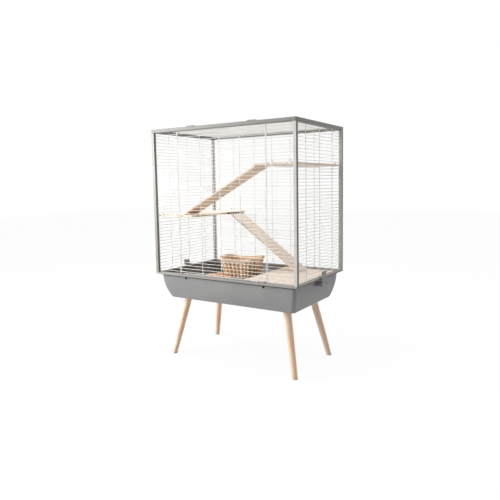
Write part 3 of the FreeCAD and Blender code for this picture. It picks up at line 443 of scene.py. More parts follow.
def ramp_tilt(ramp):
    """The angle about Y that lays a ramp level, from its hinge to its foot."""
    pivot = Vector(joint_place(ramp + "_hinge"))
    low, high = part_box(ramp)
    foot_x = low.x if abs(low.x - pivot.x) > abs(high.x - pivot.x) else high.x
    return math.atan2(pivot.z - low.z, abs(foot_x - pivot.x)) * math.copysign(1, pivot.x)


for ramp in RAMPS:
    tilt = ramp_tilt(ramp)
    plank = plywood("Birch plywood, " + ramp.replace("_", " "), BIRCH, 0, tilt, RAMP_DOWNWARD_BROWN)
    dress([ramp], plank, edge_mm=0.5)
    print(f"{ramp}: slope {math.degrees(tilt):.1f} degrees")

# %% [markdown]
# ## Making meshes
# Most pieces here are long things with one section: wires, strips, legs. Curves with a bevel could make
# them, but a mesh can keep where each point lies on its strip. So a piece is a row of rings skinned with
# quads, and each shape below is a way to place rings. A vector per point, called grain, keeps the way
# along a strip, the way round it and the strip's own tone, for finishes that follow it.


# %% Stock, the skin of a piece
class Stock:
    """Points, faces and grain of one piece, gathered before its mesh is made."""

    def __init__(self):
        self.points = []
        self.faces = []
        self.grain = []

    def skin(self, rings, loop=False, tone=0.0):
        """Quads between rings of points, closed into a loop or capped at both ends."""
        first = len(self.points)
        sides = len(rings[0])
        way = 0.0
        for i, ring in enumerate(rings):
            way += (ring[0] - rings[max(i - 1, 0)][0]).length
            self.points += [tuple(point) for point in ring]
            self.grain += [(way, j / sides, tone) for j in range(sides)]
        for i in range(len(rings) - (0 if loop else 1)):
            a = first + i * sides
            b = first + (i + 1) % len(rings) * sides
            self.faces += [(a + j, a + (j + 1) % sides, b + (j + 1) % sides, b + j) for j in range(sides)]
        if not loop:
            last = len(self.points) - sides
            self.faces.append(tuple(first + j for j in reversed(range(sides))))
            self.faces.append(tuple(last + j for j in range(sides)))


# %% Round wire and flat strip
def circle_angles(sides):
    """Angles evenly spaced round a circle."""
    return [2 * math.pi * j / sides for j in range(sides)]


def round_wire(stock, path, diameter, sides=8):
    """A round wire along a path of points."""
    rings = []
    side = (path[1] - path[0]).orthogonal()
    for i, point in enumerate(path):
        along = (path[min(i + 1, len(path) - 1)] - path[max(i - 1, 0)]).normalized()
        side = (side - along * side.dot(along)).normalized()
        up = along.cross(side)
        rings.append([point + (side * math.cos(angle) + up * math.sin(angle)) * diameter / 2
                      for angle in circle_angles(sides)])
    stock.skin(rings)


def flat_strip(stock, path, outs, width, thickness, tone=0.0, loop=False):
    """A flat strip with eased edges along a path, its face turned to the out directions."""
    half = width / 2
    flat = thickness / 2
    ease = thickness * 0.35
    edge = [(half - ease, -flat), (half, ease - flat), (half, flat - ease), (half - ease, flat)]
    section = edge + [(-sideways, outwards) for sideways, outwards in reversed(edge)]
    rings = []
    for i, point in enumerate(path):
        before = path[i - 1] if i or loop else point
        after = path[(i + 1) % len(path)] if i + 1 < len(path) or loop else point
        across = (after - before).cross(outs[i]).normalized()
        rings.append([point + across * sideways + outs[i] * outwards for sideways, outwards in section])
    stock.skin(rings, loop, tone)


# %% From stock to piece
def make_piece(stock, name, material, body, slot, *replaced, place=None):
    """Turn stock into an object that rides on a body and stands for solids."""
    mesh = bpy.data.meshes.new(name)
    mesh.from_pydata(stock.points, [], stock.faces)
    mesh.materials.append(material)
    grain = mesh.attributes.new("grain", "FLOAT_VECTOR", "POINT")
    grain.data.foreach_set("vector", np.array(stock.grain, np.float32).ravel())
    mesh.shade_smooth()
    mesh.set_sharp_from_angle(angle=math.radians(40))
    made = bpy.data.objects.new(name, mesh)
    bpy.context.scene.collection.objects.link(made)
    if place:
        mesh.transform(place.inverted())
        made.matrix_world = place
        bpy.context.view_layer.update()
    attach(made, body)
    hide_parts(*replaced)
    print(f"{name}: {len(mesh.vertices)} points")


# %% [markdown]
# ## Welded wire
# A wall is a mat of 2 mm level wires, resistance welded across a few 3 mm uprights. The weld sinks the
# wires a little into each other and leaves a small bead. The solid is a flat grid of square bars, so
# each wall is remade in round wire on the same rows: the uprights in the wall's middle plane, the level
# wires just outside them. Arrays could repeat one wire, but a loop also sets a bead on every crossing.

# %% Wire sizes, and the rows of a wall
LEVEL_WIRE = 2.0 * MM
UPRIGHT_WIRE = 3.0 * MM
WIRE_PITCH = 15.0 * MM
WELD_OFFSET = 1.0 * MM
WELD_BEAD = 3.2 * MM
BEAD_SEAT = 0.8
FRONT_UPRIGHTS = [-107.0 * MM, 0.0, 107.0 * MM]
BACK_UPRIGHTS = [-240.0 * MM] + FRONT_UPRIGHTS + [240.0 * MM]
SIDE_UPRIGHTS = [-133.0 * MM, 0.0, 133.0 * MM]
ROOF_BARS = [-68.0 * MM, 68.0 * MM]


def even(first, last, pitch):
    """Places between two ends, as near to a pitch as fits evenly."""
    gaps = int((last - first) / pitch + 1e-6)
    return [first + (last - first) * i / gaps for i in range(gaps + 1)]


wall_low, wall_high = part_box("back_panel")
ROWS = even(wall_low.z + LEVEL_WIRE / 2, wall_high.z - LEVEL_WIRE / 2, WIRE_PITCH)
print("level wires in a wall:", len(ROWS))

# %% Wire mats
# Faces of an octahedron whose corners are listed as low and high X, low and high Y, low and high Z.
BEAD_FACES = ((4, 2, 0), (4, 1, 2), (4, 3, 1), (4, 0, 3), (5, 0, 2), (5, 2, 1), (5, 1, 3), (5, 3, 0))


def bead(stock, centre, size):
    """A weld bead: an octahedron that smooth shading rounds."""
    first = len(stock.points)
    for axis in range(3):
        for sign in (-0.5, 0.5):
            corner = Vector(centre)
            corner[axis] += sign * size
            stock.points.append(tuple(corner))
            stock.grain.append((0.0, 0.0, 0.0))
    stock.faces += [tuple(first + corner for corner in face) for face in BEAD_FACES]


def wire_mat(node_name, body, uprights, levels, place, outward):
    """A welded mat for a solid. place(u, v) is a point of its middle plane."""
    stock = Stock()
    out = Vector(outward) * WELD_OFFSET
    low = levels[0] - LEVEL_WIRE / 2
    high = levels[-1] + LEVEL_WIRE / 2
    left = uprights[0] - UPRIGHT_WIRE / 2
    right = uprights[-1] + UPRIGHT_WIRE / 2
    for u in uprights:
        round_wire(stock, [place(u, low), place(u, high)], UPRIGHT_WIRE, sides=10)
        for v in levels:
            bead(stock, place(u, v) + out * BEAD_SEAT, WELD_BEAD)
    for v in levels:
        round_wire(stock, [place(left, v) + out, place(right, v) + out], LEVEL_WIRE)
    make_piece(stock, node_name + "_wire", white_wire, body, "white_wire", node_name)


# %% Places of the wires
def with_edges(node_name, axis, inner):
    """Places of the uprights of a mat: its two edges and the inner ones."""
    low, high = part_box(node_name)
    return [low[axis] + UPRIGHT_WIRE / 2] + inner + [high[axis] - UPRIGHT_WIRE / 2]


def rows_in(node_name):
    """The rows of level wire that lie within a solid, and one along its lower edge."""
    low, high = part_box(node_name)
    bottom = low.z + LEVEL_WIRE / 2
    return [bottom] + [z for z in ROWS if bottom + LEVEL_WIRE < z < high.z]


def middle(node_name, axis):
    """The middle of a solid along an axis."""
    low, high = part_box(node_name)
    return (low[axis] + high[axis]) / 2


print("level wires in the door:", len(rows_in("front_door")))

# %% Front, back and side walls, and the door
for node_name, inner, outside in (("back_panel", BACK_UPRIGHTS, 1), ("front_panel_left", [], -1),
                                  ("front_panel_right", [], -1), ("front_panel_upper", FRONT_UPRIGHTS, -1),
                                  ("front_door", FRONT_UPRIGHTS, -1)):
    plane = middle(node_name, 1)
    body = "front_door" if node_name == "front_door" else "cage"
    wire_mat(node_name, body, with_edges(node_name, 0, inner), rows_in(node_name),
             lambda u, v: Vector((u, plane, v)), (0, outside, 0))
for node_name, outside in (("left_panel", -1), ("right_panel", 1)):
    plane = middle(node_name, 0)
    wire_mat(node_name, "cage", with_edges(node_name, 1, SIDE_UPRIGHTS), rows_in(node_name),
             lambda u, v: Vector((plane, u, v)), (outside, 0, 0))

# %% [markdown]
# ## Roof hatch
# The roof is one more mat, lying flat: close wires run front to back over four stouter bars.
# Seen from below at a slant, its wires close up into a pale sheet.

# %% Roof hatch
hatch_low, hatch_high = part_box("roof_hatch")
hatch_plane = middle("roof_hatch", 2)
hatch_wires = even(hatch_low.x + LEVEL_WIRE / 2, hatch_high.x - LEVEL_WIRE / 2, WIRE_PITCH)
wire_mat("roof_hatch", "roof_hatch", with_edges("roof_hatch", 1, ROOF_BARS), hatch_wires,
         lambda u, v: Vector((v, u, hatch_plane)), (0, 0, 1))

# %% [markdown]
# ## Hinge eyes
# Door and hatch hang on thin rods by wire wound round them. A plain ring would hang on nothing, and a real
# eye is a short coil with one end led to the mat, so it is a wire along a helix that leaves on a tangent.

# %% Hinge eyes
EYE_WIRE = 1.8 * MM
EYE_WIDTH = 8.0 * MM
EYE_TURNS = 3
STEPS_A_TURN = 12


def hinge_eye(stock, low, high, rod, towards):
    """A coil round a rod along X, within a box, whose tail runs towards the mat."""
    rod_y, rod_z = rod
    radius = (high.z - low.z - EYE_WIRE) / 2
    path = []
    steps = STEPS_A_TURN * EYE_TURNS
    for i in range(steps + 1):
        angle = 2 * math.pi * EYE_TURNS * i / steps
        x = low.x + EYE_WIRE / 2 + (high.x - low.x - EYE_WIRE) * i / steps
        y = rod_y + towards * radius * math.sin(angle)
        path.append(Vector((x, y, rod_z - radius * math.cos(angle))))
    end = path[-1]
    reach = high.y if towards > 0 else low.y
    path += [Vector((end.x, rod_y + (reach - rod_y) * share, end.z)) for share in (0.5, 1.0)]
    round_wire(stock, path, EYE_WIRE, sides=6)


for node_name, body, towards in (("door_hinge_loops", "front_door", 1),
                                 ("hatch_hinge_loops", "roof_hatch", -1)):
    low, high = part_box(node_name)
    rod = joint_place(body + "_hinge")[1:]
    eyes = Stock()
    for left in (low.x, high.x - EYE_WIDTH):
        eye_low = Vector((left, low.y, low.z))
        eye_high = Vector((left + EYE_WIDTH, high.y, high.z))
        hinge_eye(eyes, eye_low, eye_high, rod, towards)
    make_piece(eyes, node_name + "_wire", white_wire, body, "white_wire", node_name)

# %% [markdown]
# ## Door tongues
# The door is held shut by two spring tongues. Each is a hairpin of white wire on the door's top edge
# that laps over the fixed wires above, so it is one wire bent round a half circle.

# %% Door tongues
TONGUE_WIRE = 1.8 * MM
TONGUE_WIDTH = 14.0 * MM
TONGUE_STEPS = 12

latch_low, latch_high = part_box("door_latches")
latch_plane = middle("door_latches", 1)
bend = (TONGUE_WIDTH - TONGUE_WIRE) / 2
foot = latch_low.z + TONGUE_WIRE / 2
crown = latch_high.z - TONGUE_WIRE / 2 - bend
tongues = Stock()
for left in (latch_low.x, latch_high.x - TONGUE_WIDTH):
    centre = left + TONGUE_WIDTH / 2
    path = [Vector((centre - bend, latch_plane, foot))]
    for i in range(TONGUE_STEPS + 1):
        angle = math.pi * i / TONGUE_STEPS
        path.append(Vector((centre - bend * math.cos(angle), latch_plane, crown + bend * math.sin(angle))))
    path.append(Vector((centre + bend, latch_plane, foot)))
    round_wire(tongues, path, TONGUE_WIRE)
make_piece(tongues, "door_latches_wire", white_wire, "front_door", "white_wire", "door_latches")

# %% [markdown]
# ## Ramp hooks
# A ramp hangs on its rod by a row of dark wire hooks. Each goes through the plank, is clinched under it,
# runs up the top face and turns round the rod. A flat strap would be simpler, but from below only the
# clinched ends show, as a row of dashes, so each hook is bent from its own wire.

# %% Ramp hooks
RAMP_HOOKS = 5
HOOK_WIRE = 2.8 * MM
HOOK_PITCH = 21.0 * MM
HOOK_HOLE = 20.0 * MM
HOOK_BEND = 1.5 * MM
CLINCH = 9.0 * MM
ROD_RADIUS = 2.0 * MM
ROD_CLEARANCE = 0.2 * MM
PLANK_HALF = 4.0 * MM
# Where the wire leaves the plank's face and where it dips to the rod, in radii of its turn round the rod.
HOOK_LEAVES = 4.0
HOOK_DIP = (1.8, 1.25)
HOOK_ROUND = range(90, 361, 30)


def ramp_hook(stock, place, across):
    """One hook, in the ramp's own directions: down the slope, across it and out of its top face."""
    face = PLANK_HALF + HOOK_WIRE / 2
    turn = ROD_RADIUS + HOOK_WIRE / 2 + ROD_CLEARANCE
    under = [(HOOK_HOLE + CLINCH, -face), (HOOK_HOLE + HOOK_BEND, -face), (HOOK_HOLE, -PLANK_HALF)]
    over = [(HOOK_HOLE, PLANK_HALF), (HOOK_HOLE - HOOK_BEND, face)]
    over += [(HOOK_LEAVES * turn, face), (HOOK_DIP[0] * turn, HOOK_DIP[1] * turn)]
    angles = [math.radians(degrees) for degrees in HOOK_ROUND]
    round_rod = [(turn * math.cos(angle), turn * math.sin(angle)) for angle in angles]
    path = [place @ Vector((down, across, out)) for down, out in under + over + round_rod]
    round_wire(stock, path, HOOK_WIRE)


for ramp in RAMPS:
    pivot = Vector(joint_place(ramp + "_hinge"))
    facing = Matrix.Rotation(0.0 if pivot.x < 0 else math.pi, 4, "Z")
    slope = Matrix.Rotation(abs(ramp_tilt(ramp)), 4, "Y")
    hooks = Stock()
    for k in range(RAMP_HOOKS):
        across = (k - (RAMP_HOOKS - 1) / 2) * HOOK_PITCH
        ramp_hook(hooks, Matrix.Translation(pivot) @ facing @ slope, across)
    make_piece(hooks, ramp + "_hooks", dark_steel, ramp, "dark_steel", ramp + "_straps")

# %% [markdown]
# ## Turned legs
# A leg is a tapered beech turning that leans outwards, cut level at the tray and at the floor. It is
# rebuilt as a stack of level rings between the solid's two ends, with a faint swell and eased ends.
# The object's own Z lies along the leg, so the grain does too. The four legs are cut from one plank,
# one after the other, which keeps their grain different.

# %% Turned legs
LEG_EASE = 1.5 * MM
LEG_SWELL = 0.6 * MM
LEG_SIDES = 40
LEG_RINGS = 16


def end_ring(node_name, top):
    """Centre and radius of a solid's level end."""
    points = np.array([v.co for v in frame["nodes"][node_name].data.vertices])
    level = points[:, 2].max() if top else points[:, 2].min()
    ring = points[abs(points[:, 2] - level) < 0.05 * MM]
    centre = Vector((ring.min(axis=0) + ring.max(axis=0)) / 2)
    return centre, (ring[:, 1].max() - ring[:, 1].min()) / 2


for order, node_name in enumerate(named("leg_front", "leg_back")):
    foot, foot_radius = end_ring(node_name, top=False)
    head, head_radius = end_ring(node_name, top=True)
    length = (head - foot).length
    eased = LEG_EASE / length
    rings = []
    for share in [0.0, eased] + [i / LEG_RINGS for i in range(1, LEG_RINGS)] + [1 - eased, 1.0]:
        radius = foot_radius + (head_radius - foot_radius) * share + LEG_SWELL * math.sin(math.pi * share)
        radius -= LEG_EASE / 2 if share in (0.0, 1.0) else 0.0
        centre = foot.lerp(head, share)
        rings.append([centre + Vector((math.cos(angle), math.sin(angle), 0)) * radius
                      for angle in circle_angles(LEG_SIDES)])
    leg = Stock()
    leg.skin(rings)
    lean = (head - foot).to_track_quat("Z", "X").to_matrix().to_4x4()
    place = Matrix.Translation(foot) @ lean @ Matrix.Translation((0, 0, -order * 2 * length))
    make_piece(leg, node_name + "_turned", leg_beech, "cage", "leg_wood", node_name, place=place)

# %% [markdown]
# ## Foot pads
# Under each leg sits a thin pad of pale rubber. Soft rubber is matt, with a fine chalky bloom. The bloom
# is a dust, too fine to show, so a small noise draws it in patches of 3 mm.


# %% Foot pads
def pad_rubber(name):
    """Pale matt rubber with a chalky bloom."""
    material, tree = new_material(name)
    place = add(tree, "ShaderNodeTexCoord").outputs["Object"]
    bloom = add(tree, "ShaderNodeTexNoise", Vector=place, Scale=per_metre(3.0), Detail=4.0).outputs["Fac"]
    colour = add(tree, "ShaderNodeValToRGB", {"stops": [(0.3, "#DDD5CE"), (0.7, "#ECE5DF")]}, Fac=bloom)
    bump = add(tree, "ShaderNodeBump", Strength=0.2, Distance=0.1 * MM, Height=bloom)
    surface(tree, Base_Color=colour.outputs[0], Roughness=0.85, IOR=1.52, Normal=bump.outputs[0])
    return material


pad = pad_rubber("Pale grey rubber")
dress(["foot_pads"], pad, edge_mm=0.8)
print("foot pads:", pad.name)

# %% [markdown]
# ## Screw heads
# Black caps show on the tray where screws hold the ledges of the floor board. A cap is a dome of rings
# about its axis, which is rounder than the plain disc of the solid.

# %% Screw heads
CAP_HEIGHT = 4.0 * MM
CAP_DIAMETER = 10.0 * MM
CAP_SIDES = 20
# Each ring's share of the radius and of the height, from the tray outwards.
CAP_PROFILE = ((1.0, 0.0), (1.0, 0.35), (0.93, 0.6), (0.78, 0.8), (0.52, 0.95), (0.2, 1.0))


def dome(stock, base, axis):
    """A rounded screw cap on a face, its axis pointing out."""
    side = axis.orthogonal().normalized()
    up = axis.cross(side)
    rings = []
    for wide, tall in CAP_PROFILE:
        centre = base + axis * CAP_HEIGHT * tall
        rings.append([centre + (side * math.cos(angle) + up * math.sin(angle)) * wide * CAP_DIAMETER / 2
                      for angle in circle_angles(CAP_SIDES)])
    stock.skin(rings)


screw_low, screw_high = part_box("ledge_screws")
screw_level = (screw_low.z + screw_high.z) / 2
caps = Stock()
for x in (screw_low.x + CAP_DIAMETER / 2, screw_high.x - CAP_DIAMETER / 2):
    for y, out in ((screw_low.y + CAP_HEIGHT, -1), (screw_high.y - CAP_HEIGHT, 1)):
        dome(caps, Vector((x, y, screw_level)), Vector((0, out, 0)))
make_piece(caps, "ledge_screw_caps", cap_plastic, "cage", "black_plastic", "ledge_screws")

# %% [markdown]
# ## Woven basket
# The basket is plain weave. Narrow stakes lean round the wall, and rows of wide pale splint pass in front
# of one stake and behind the next, each row the other way round from the row below. The stakes' dark
# outer faces are painted shade, for the shaded slots between the rows, and every face that looks into
# the basket takes one pale tone of the wood. It could be a pattern on a plain tub, but then the rim would
# be smooth and the rows flat, so every strip is a strip. Rows follow the rim, which dips in the middle of
# the long sides.

# %% Basket sizes
BASKET_TURN = math.radians(12.0)
BASKET_TOP = (102.0 * MM, 70.0 * MM)
BASKET_BASE = (73.0 * MM, 52.0 * MM)
BASKET_CORNER = 40.0 * MM
BASKET_DIP = 10.0 * MM
BASKET_FLARE = 1.5

basket_low, basket_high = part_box("woven_basket")
basket_height = basket_high.z - basket_low.z
basket_foot = ((basket_low.x + basket_high.x) / 2, (basket_low.y + basket_high.y) / 2, basket_low.z)
basket_place = Matrix.Translation(basket_foot) @ Matrix.Rotation(BASKET_TURN, 4, "Z")
print(f"basket height {basket_height / MM:.0f} mm")


# %% The basket's wall as a surface
def round_corners(half_length, half_depth, corner, share):
    """A point on a rounded rectangle, at a share of the way round it."""
    runs = [2 * (half_depth - corner), 2 * (half_length - corner)] * 2
    arc = math.pi / 2 * corner
    way = share % 1.0 * (sum(runs) + 4 * arc)
    for side, run in enumerate(runs):
        turn = side * math.pi / 2
        out = Vector((math.cos(turn), math.sin(turn), 0))
        ahead = Vector((-out.y, out.x, 0))
        reach = half_depth if side % 2 else half_length
        if way <= run:
            return out * reach + ahead * (way - run / 2)
        if way <= run + arc:
            bend = turn + (way - run) / corner
            arm = Vector((math.cos(bend), math.sin(bend), 0)) * corner
            return out * (reach - corner) + ahead * run / 2 + arm
        way -= run + arc
    return Vector((half_length, corner - half_depth, 0))


def basket_wall(share, level):
    """A point of the wall at a share of the way round and a level from 0 to 1 of the full height."""
    flare = max(level, 0.0) ** BASKET_FLARE
    half_length = BASKET_BASE[0] + (BASKET_TOP[0] - BASKET_BASE[0]) * flare
    half_depth = BASKET_BASE[1] + (BASKET_TOP[1] - BASKET_BASE[1]) * flare
    outline = round_corners(half_length, half_depth, BASKET_CORNER, share)
    return outline + Vector((0, 0, level * basket_height))


def wall_out(share, level, step=0.004):
    """The direction out of the wall at a point."""
    round_it = basket_wall(share + step, level) - basket_wall(share - step, level)
    up_it = basket_wall(share, level + step) - basket_wall(share, level)
    return round_it.cross(up_it).normalized()


def rim_level(share):
    """The level of the rim, which dips like a saddle."""
    x = basket_wall(share, 1.0).x
    radius = (BASKET_TOP[0] ** 2 + BASKET_DIP ** 2) / (2 * BASKET_DIP)
    return 1 - (BASKET_DIP - radius + math.sqrt(radius ** 2 - x ** 2)) / basket_height


print(f"rim dips to {min(rim_level(i / 100) for i in range(100)) * basket_height / MM:.0f} mm")

# %% Wood splint
SPLINT_TONES = (0.0, 0.22, 0.5, 0.78)
# Faces that look into the basket take one pale tone.
INNER_FACE_TONE = 0.7
INNER_FACE_EDGE = 5.0 * MM


def wood_splint(name, tones, width_mm, pale_inside_of=None):
    """Thin sliced wood whose fibres follow each strip, every strip in a tone of its own.

    Where a middle point is named, faces that look towards it take one pale tone of the wood.
    Fibres are too fine to show, so they are drawn 1.2 mm wide.
    """
    material, tree = new_material(name)
    grain = add(tree, "ShaderNodeAttribute", {"attribute_name": "grain"}).outputs["Vector"]
    tone = add(tree, "ShaderNodeSeparateXYZ", Vector=grain).outputs["Z"]
    if pale_inside_of:
        place = add(tree, "ShaderNodeTexCoord").outputs
        away = add(tree, "ShaderNodeVectorMath", {"operation": "SUBTRACT"}, in0=place["Object"],
                   in1=pale_inside_of).outputs[0]
        outward = add(tree, "ShaderNodeVectorMath", {"operation": "DOT_PRODUCT"}, in0=away,
                      in1=place["Normal"]).outputs["Value"]
        # Faces that look away from the middle keep the strip's tone, which on the stakes is painted shade.
        facing_out = add(tree, "ShaderNodeMapRange", Value=outward, From_Min=-INNER_FACE_EDGE, From_Max=INNER_FACE_EDGE)
        tone = add(tree, "ShaderNodeMix", in0=facing_out.outputs[0], in2=INNER_FACE_TONE, in3=tone).outputs[0]
    # Metres along a strip and round it, and a jump in the noise from one tone to the next.
    unrolled = add(tree, "ShaderNodeVectorMath", {"operation": "MULTIPLY"}, in0=grain,
                   in1=(1.0, width_mm * MM * 2, 5.0)).outputs[0]
    strands = fibres(tree, unrolled, 0, width_mm=1.2, stretch=22)
    mixed = add(tree, "ShaderNodeMix", in0=0.6, in2=strands, in3=tone).outputs[0]
    stops = list(zip(SPLINT_TONES, tones))
    colour = add(tree, "ShaderNodeValToRGB", {"stops": stops}, Fac=mixed)
    bump = add(tree, "ShaderNodeBump", Strength=0.3, Distance=0.15 * MM, Height=strands)
    surface(tree, Base_Color=colour.outputs[0], Roughness=0.58, IOR=1.5, Normal=bump.outputs[0])
    return material


basket_middle = basket_place.translation + Vector((0, 0, basket_height / 2))
# The first, dark brown tone is the stakes' painted shade.
basket_splint = wood_splint("Sliced poplar splint, stakes in painted shade", ("#8A5F38", "#F2C594", "#F9DAB5", "#FDECD7"), 18.0,
                            basket_middle)
print("basket:", basket_splint.name)

# %% Stakes
STAKES = 56
STAKE_WIDTH = 4.6 * MM
STAKE_LEAN = 0.17
STAKE_STEPS = 10
SPLINT_THICKNESS = 1.6 * MM
THIN_SPLINT = SPLINT_THICKNESS * 0.8
# The stakes' tone lies below the darkest stop: painted shade for the slots between the rows.
STAKE_SHADE_TONE = -0.6


def stand_stakes(stock):
    """Narrow stakes whose dark tone is painted shade, leaning round the wall from its foot to the rim."""
    for j in range(STAKES):
        start = (j + 0.5) / STAKES
        top = rim_level(start - STAKE_LEAN)
        spots = [(start - STAKE_LEAN * top * i / STAKE_STEPS, top * i / STAKE_STEPS)
                 for i in range(STAKE_STEPS + 1)]
        path = [basket_wall(share, level) for share, level in spots]
        outs = [wall_out(share, level) for share, level in spots]
        flat_strip(stock, path, outs, STAKE_WIDTH, THIN_SPLINT, STAKE_SHADE_TONE)


# %% Rows and rim
SPLINT_ROWS = 9
SPLINT_WIDTH = 18.5 * MM
SPLINT_SWING = 1.7 * MM
STEPS_A_STAKE = 4
RIM_WIDTH = 15.0 * MM
RIM_DROP = RIM_WIDTH * 0.45
RIM_THICKNESS = SPLINT_THICKNESS * 1.3
RIM_SWINGS = 1.5
RIM_STEPS = 96
RIM_TONE = 0.7


def weave_rows(stock, chance):
    """Rows of wide splint, each before one stake and behind the next."""
    steps = STAKES * STEPS_A_STAKE
    for row in range(SPLINT_ROWS):
        path = []
        outs = []
        for i in range(steps):
            share = i / steps
            level = (row + 0.5) / SPLINT_ROWS * (rim_level(share) - RIM_WIDTH / 2 / basket_height)
            out = wall_out(share, level)
            stake = (share + STAKE_LEAN * level) * STAKES - 0.5
            swing = SPLINT_SWING * math.cos(math.pi * (stake + row))
            path.append(basket_wall(share, level) + out * swing)
            outs.append(out)
        flat_strip(stock, path, outs, SPLINT_WIDTH, SPLINT_THICKNESS, chance.random(), loop=True)


def bind_rim(stock):
    """Two stouter splints that clasp the tops of the stakes, inside and outside."""
    shares = [i / RIM_STEPS for i in range(RIM_STEPS)]
    levels = [rim_level(share) - RIM_DROP / basket_height for share in shares]
    outs = [wall_out(share, level) for share, level in zip(shares, levels)]
    for side in (-1, 1):
        path = [basket_wall(share, level) + out * side * SPLINT_SWING * RIM_SWINGS
                for share, level, out in zip(shares, levels, outs)]
        flat_strip(stock, path, outs, RIM_WIDTH, RIM_THICKNESS, RIM_TONE, loop=True)


# %% Floor, and the whole basket
FLOOR_STRIP = 11.0 * MM
FLOOR_PITCH = 12.5 * MM
FLOOR_RISE = SPLINT_THICKNESS * 1.6
FLOOR_STEPS = 12


def weave_floor(stock, chance):
    """A plain woven floor, its strips cut to the base's outline."""
    rise = Vector((0, 0, FLOOR_RISE))
    ups = [Vector((0, 0, 1))] * (2 * FLOOR_STEPS + 1)
    for axis in (0, 1):
        across_half = BASKET_BASE[1 - axis]
        straight = BASKET_BASE[axis] - BASKET_CORNER
        count = int(across_half / FLOOR_PITCH)
        for k in range(-count, count + 1):
            over = max(abs(k * FLOOR_PITCH) - (across_half - BASKET_CORNER), 0.0)
            half = straight + math.sqrt(max(BASKET_CORNER ** 2 - over ** 2, 0.0)) - SPLINT_THICKNESS
            sign = 1 if (k + axis) % 2 else -1
            path = []
            for i in range(2 * FLOOR_STEPS + 1):
                way = half * (i / FLOOR_STEPS - 1)
                point = [0.0, 0.0, math.cos(math.pi * way / FLOOR_PITCH) * sign * SPLINT_THICKNESS / 2]
                point[axis] = way
                point[1 - axis] = k * FLOOR_PITCH
                path.append(Vector(point) + rise)
            flat_strip(stock, path, ups, FLOOR_STRIP, THIN_SPLINT, chance.random())


basket = Stock()
basket_chance = random.Random(11)
stand_stakes(basket)
weave_rows(basket, basket_chance)
bind_rim(basket)
weave_floor(basket, basket_chance)
basket.points = [tuple(basket_place @ Vector(point)) for point in basket.points]
make_piece(basket, "woven_basket_strips", basket_splint, "cage", "basket_strip", "woven_basket")

# %% [markdown]
# ## Bedding
# The heap is loose softwood shavings: thin curls about 15 mm long, pale sapwood at the left end and redder
# heartwood in the rest. A soft mound keeps light from leaking through, and several hundred curls lie on
# it. Particles could scatter them, but a seeded loop gives every curl its own bend and the same heap each
# time.

# %% The mound
MOUND_SHRINK = 0.85
MOUND_POWER = 8.0
MOUND_BUMP = 5.0 * MM
MOUND_BUMPS_PER_METRE = 30
MOUND_INSET = 5.0 * MM
MOUND_LEVELS = 12
MOUND_SIDES = 48
MOUND_TONE = 0.4

heap_low, heap_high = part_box("bedding")
heap_centre = (heap_low + heap_high) / 2
heap_half = (heap_high - heap_low) / 2
print("heap:", [round(side / MM) for side in heap_high - heap_low], "mm")


def mound_point(angle, rise, inset=0.0):
    """A point on the heap at an angle and a share of its height."""
    spread = 1 - MOUND_SHRINK * rise ** MOUND_POWER
    return Vector((heap_centre.x + (heap_half.x - inset) * spread * math.cos(angle),
                   heap_centre.y + (heap_half.y - inset) * spread * math.sin(angle),
                   heap_low.z + (heap_high.z - heap_low.z - inset) * rise))


def mound_out(angle, rise, step=0.01):
    """The direction out of the heap at a point."""
    round_it = mound_point(angle + step, rise) - mound_point(angle - step, rise)
    up_it = mound_point(angle, rise + step) - mound_point(angle, rise)
    return round_it.cross(up_it).normalized()


def pile_mound(stock):
    """A closed mound with soft bumps, a little inside the heap's outline."""
    rings = []
    for level in range(MOUND_LEVELS + 1):
        ring = []
        for angle in circle_angles(MOUND_SIDES):
            point = mound_point(angle, level / MOUND_LEVELS, MOUND_INSET)
            bump = noise.noise(point * MOUND_BUMPS_PER_METRE) * MOUND_BUMP if level else 0.0
            ring.append(point + Vector((0, 0, bump)))
        rings.append(ring)
    stock.skin(rings, tone=MOUND_TONE)


# %% Curls
CURLS = 620
CURL_THICKNESS = 0.5 * MM
CURL_POINTS = 8
CURL_RADII_MM = (4, 9)
CURL_WIDTHS_MM = (3, 6.5)
CURL_DEPTHS_MM = (1, 5)
CURL_SWEEPS = (1.2, 3.4)
CURL_SLANTS = (-0.6, 0.6)
HEARTWOOD_FROM = -95.0 * MM
HEARTWOOD_TONES = (-0.1, 0.5)
SAPWOOD_TONES = (0.55, 1.0)


def curl(stock, base, out, chance):
    """One shaving: a strip bent on an arc, lying on the heap at a slant."""
    side = out.orthogonal().normalized()
    side.rotate(Matrix.Rotation(chance.uniform(0, 2 * math.pi), 3, out))
    tip = (out + side.cross(out) * chance.uniform(*CURL_SLANTS)).normalized()
    radius = chance.uniform(*CURL_RADII_MM) * MM
    sweep = chance.uniform(*CURL_SWEEPS)
    arch = chance.choice((-1, 1))
    path = []
    outs = []
    for i in range(CURL_POINTS):
        bend = sweep * (i / (CURL_POINTS - 1) - 0.5)
        path.append(base + side * radius * math.sin(bend) + tip * arch * radius * (1 - math.cos(bend)))
        outs.append((tip * math.cos(bend) - side * arch * math.sin(bend)).normalized())
    tone = chance.uniform(*(SAPWOOD_TONES if base.x < HEARTWOOD_FROM else HEARTWOOD_TONES))
    flat_strip(stock, path, outs, chance.uniform(*CURL_WIDTHS_MM) * MM, CURL_THICKNESS, tone)


# %% The whole heap
MOUND_BROW = 0.97

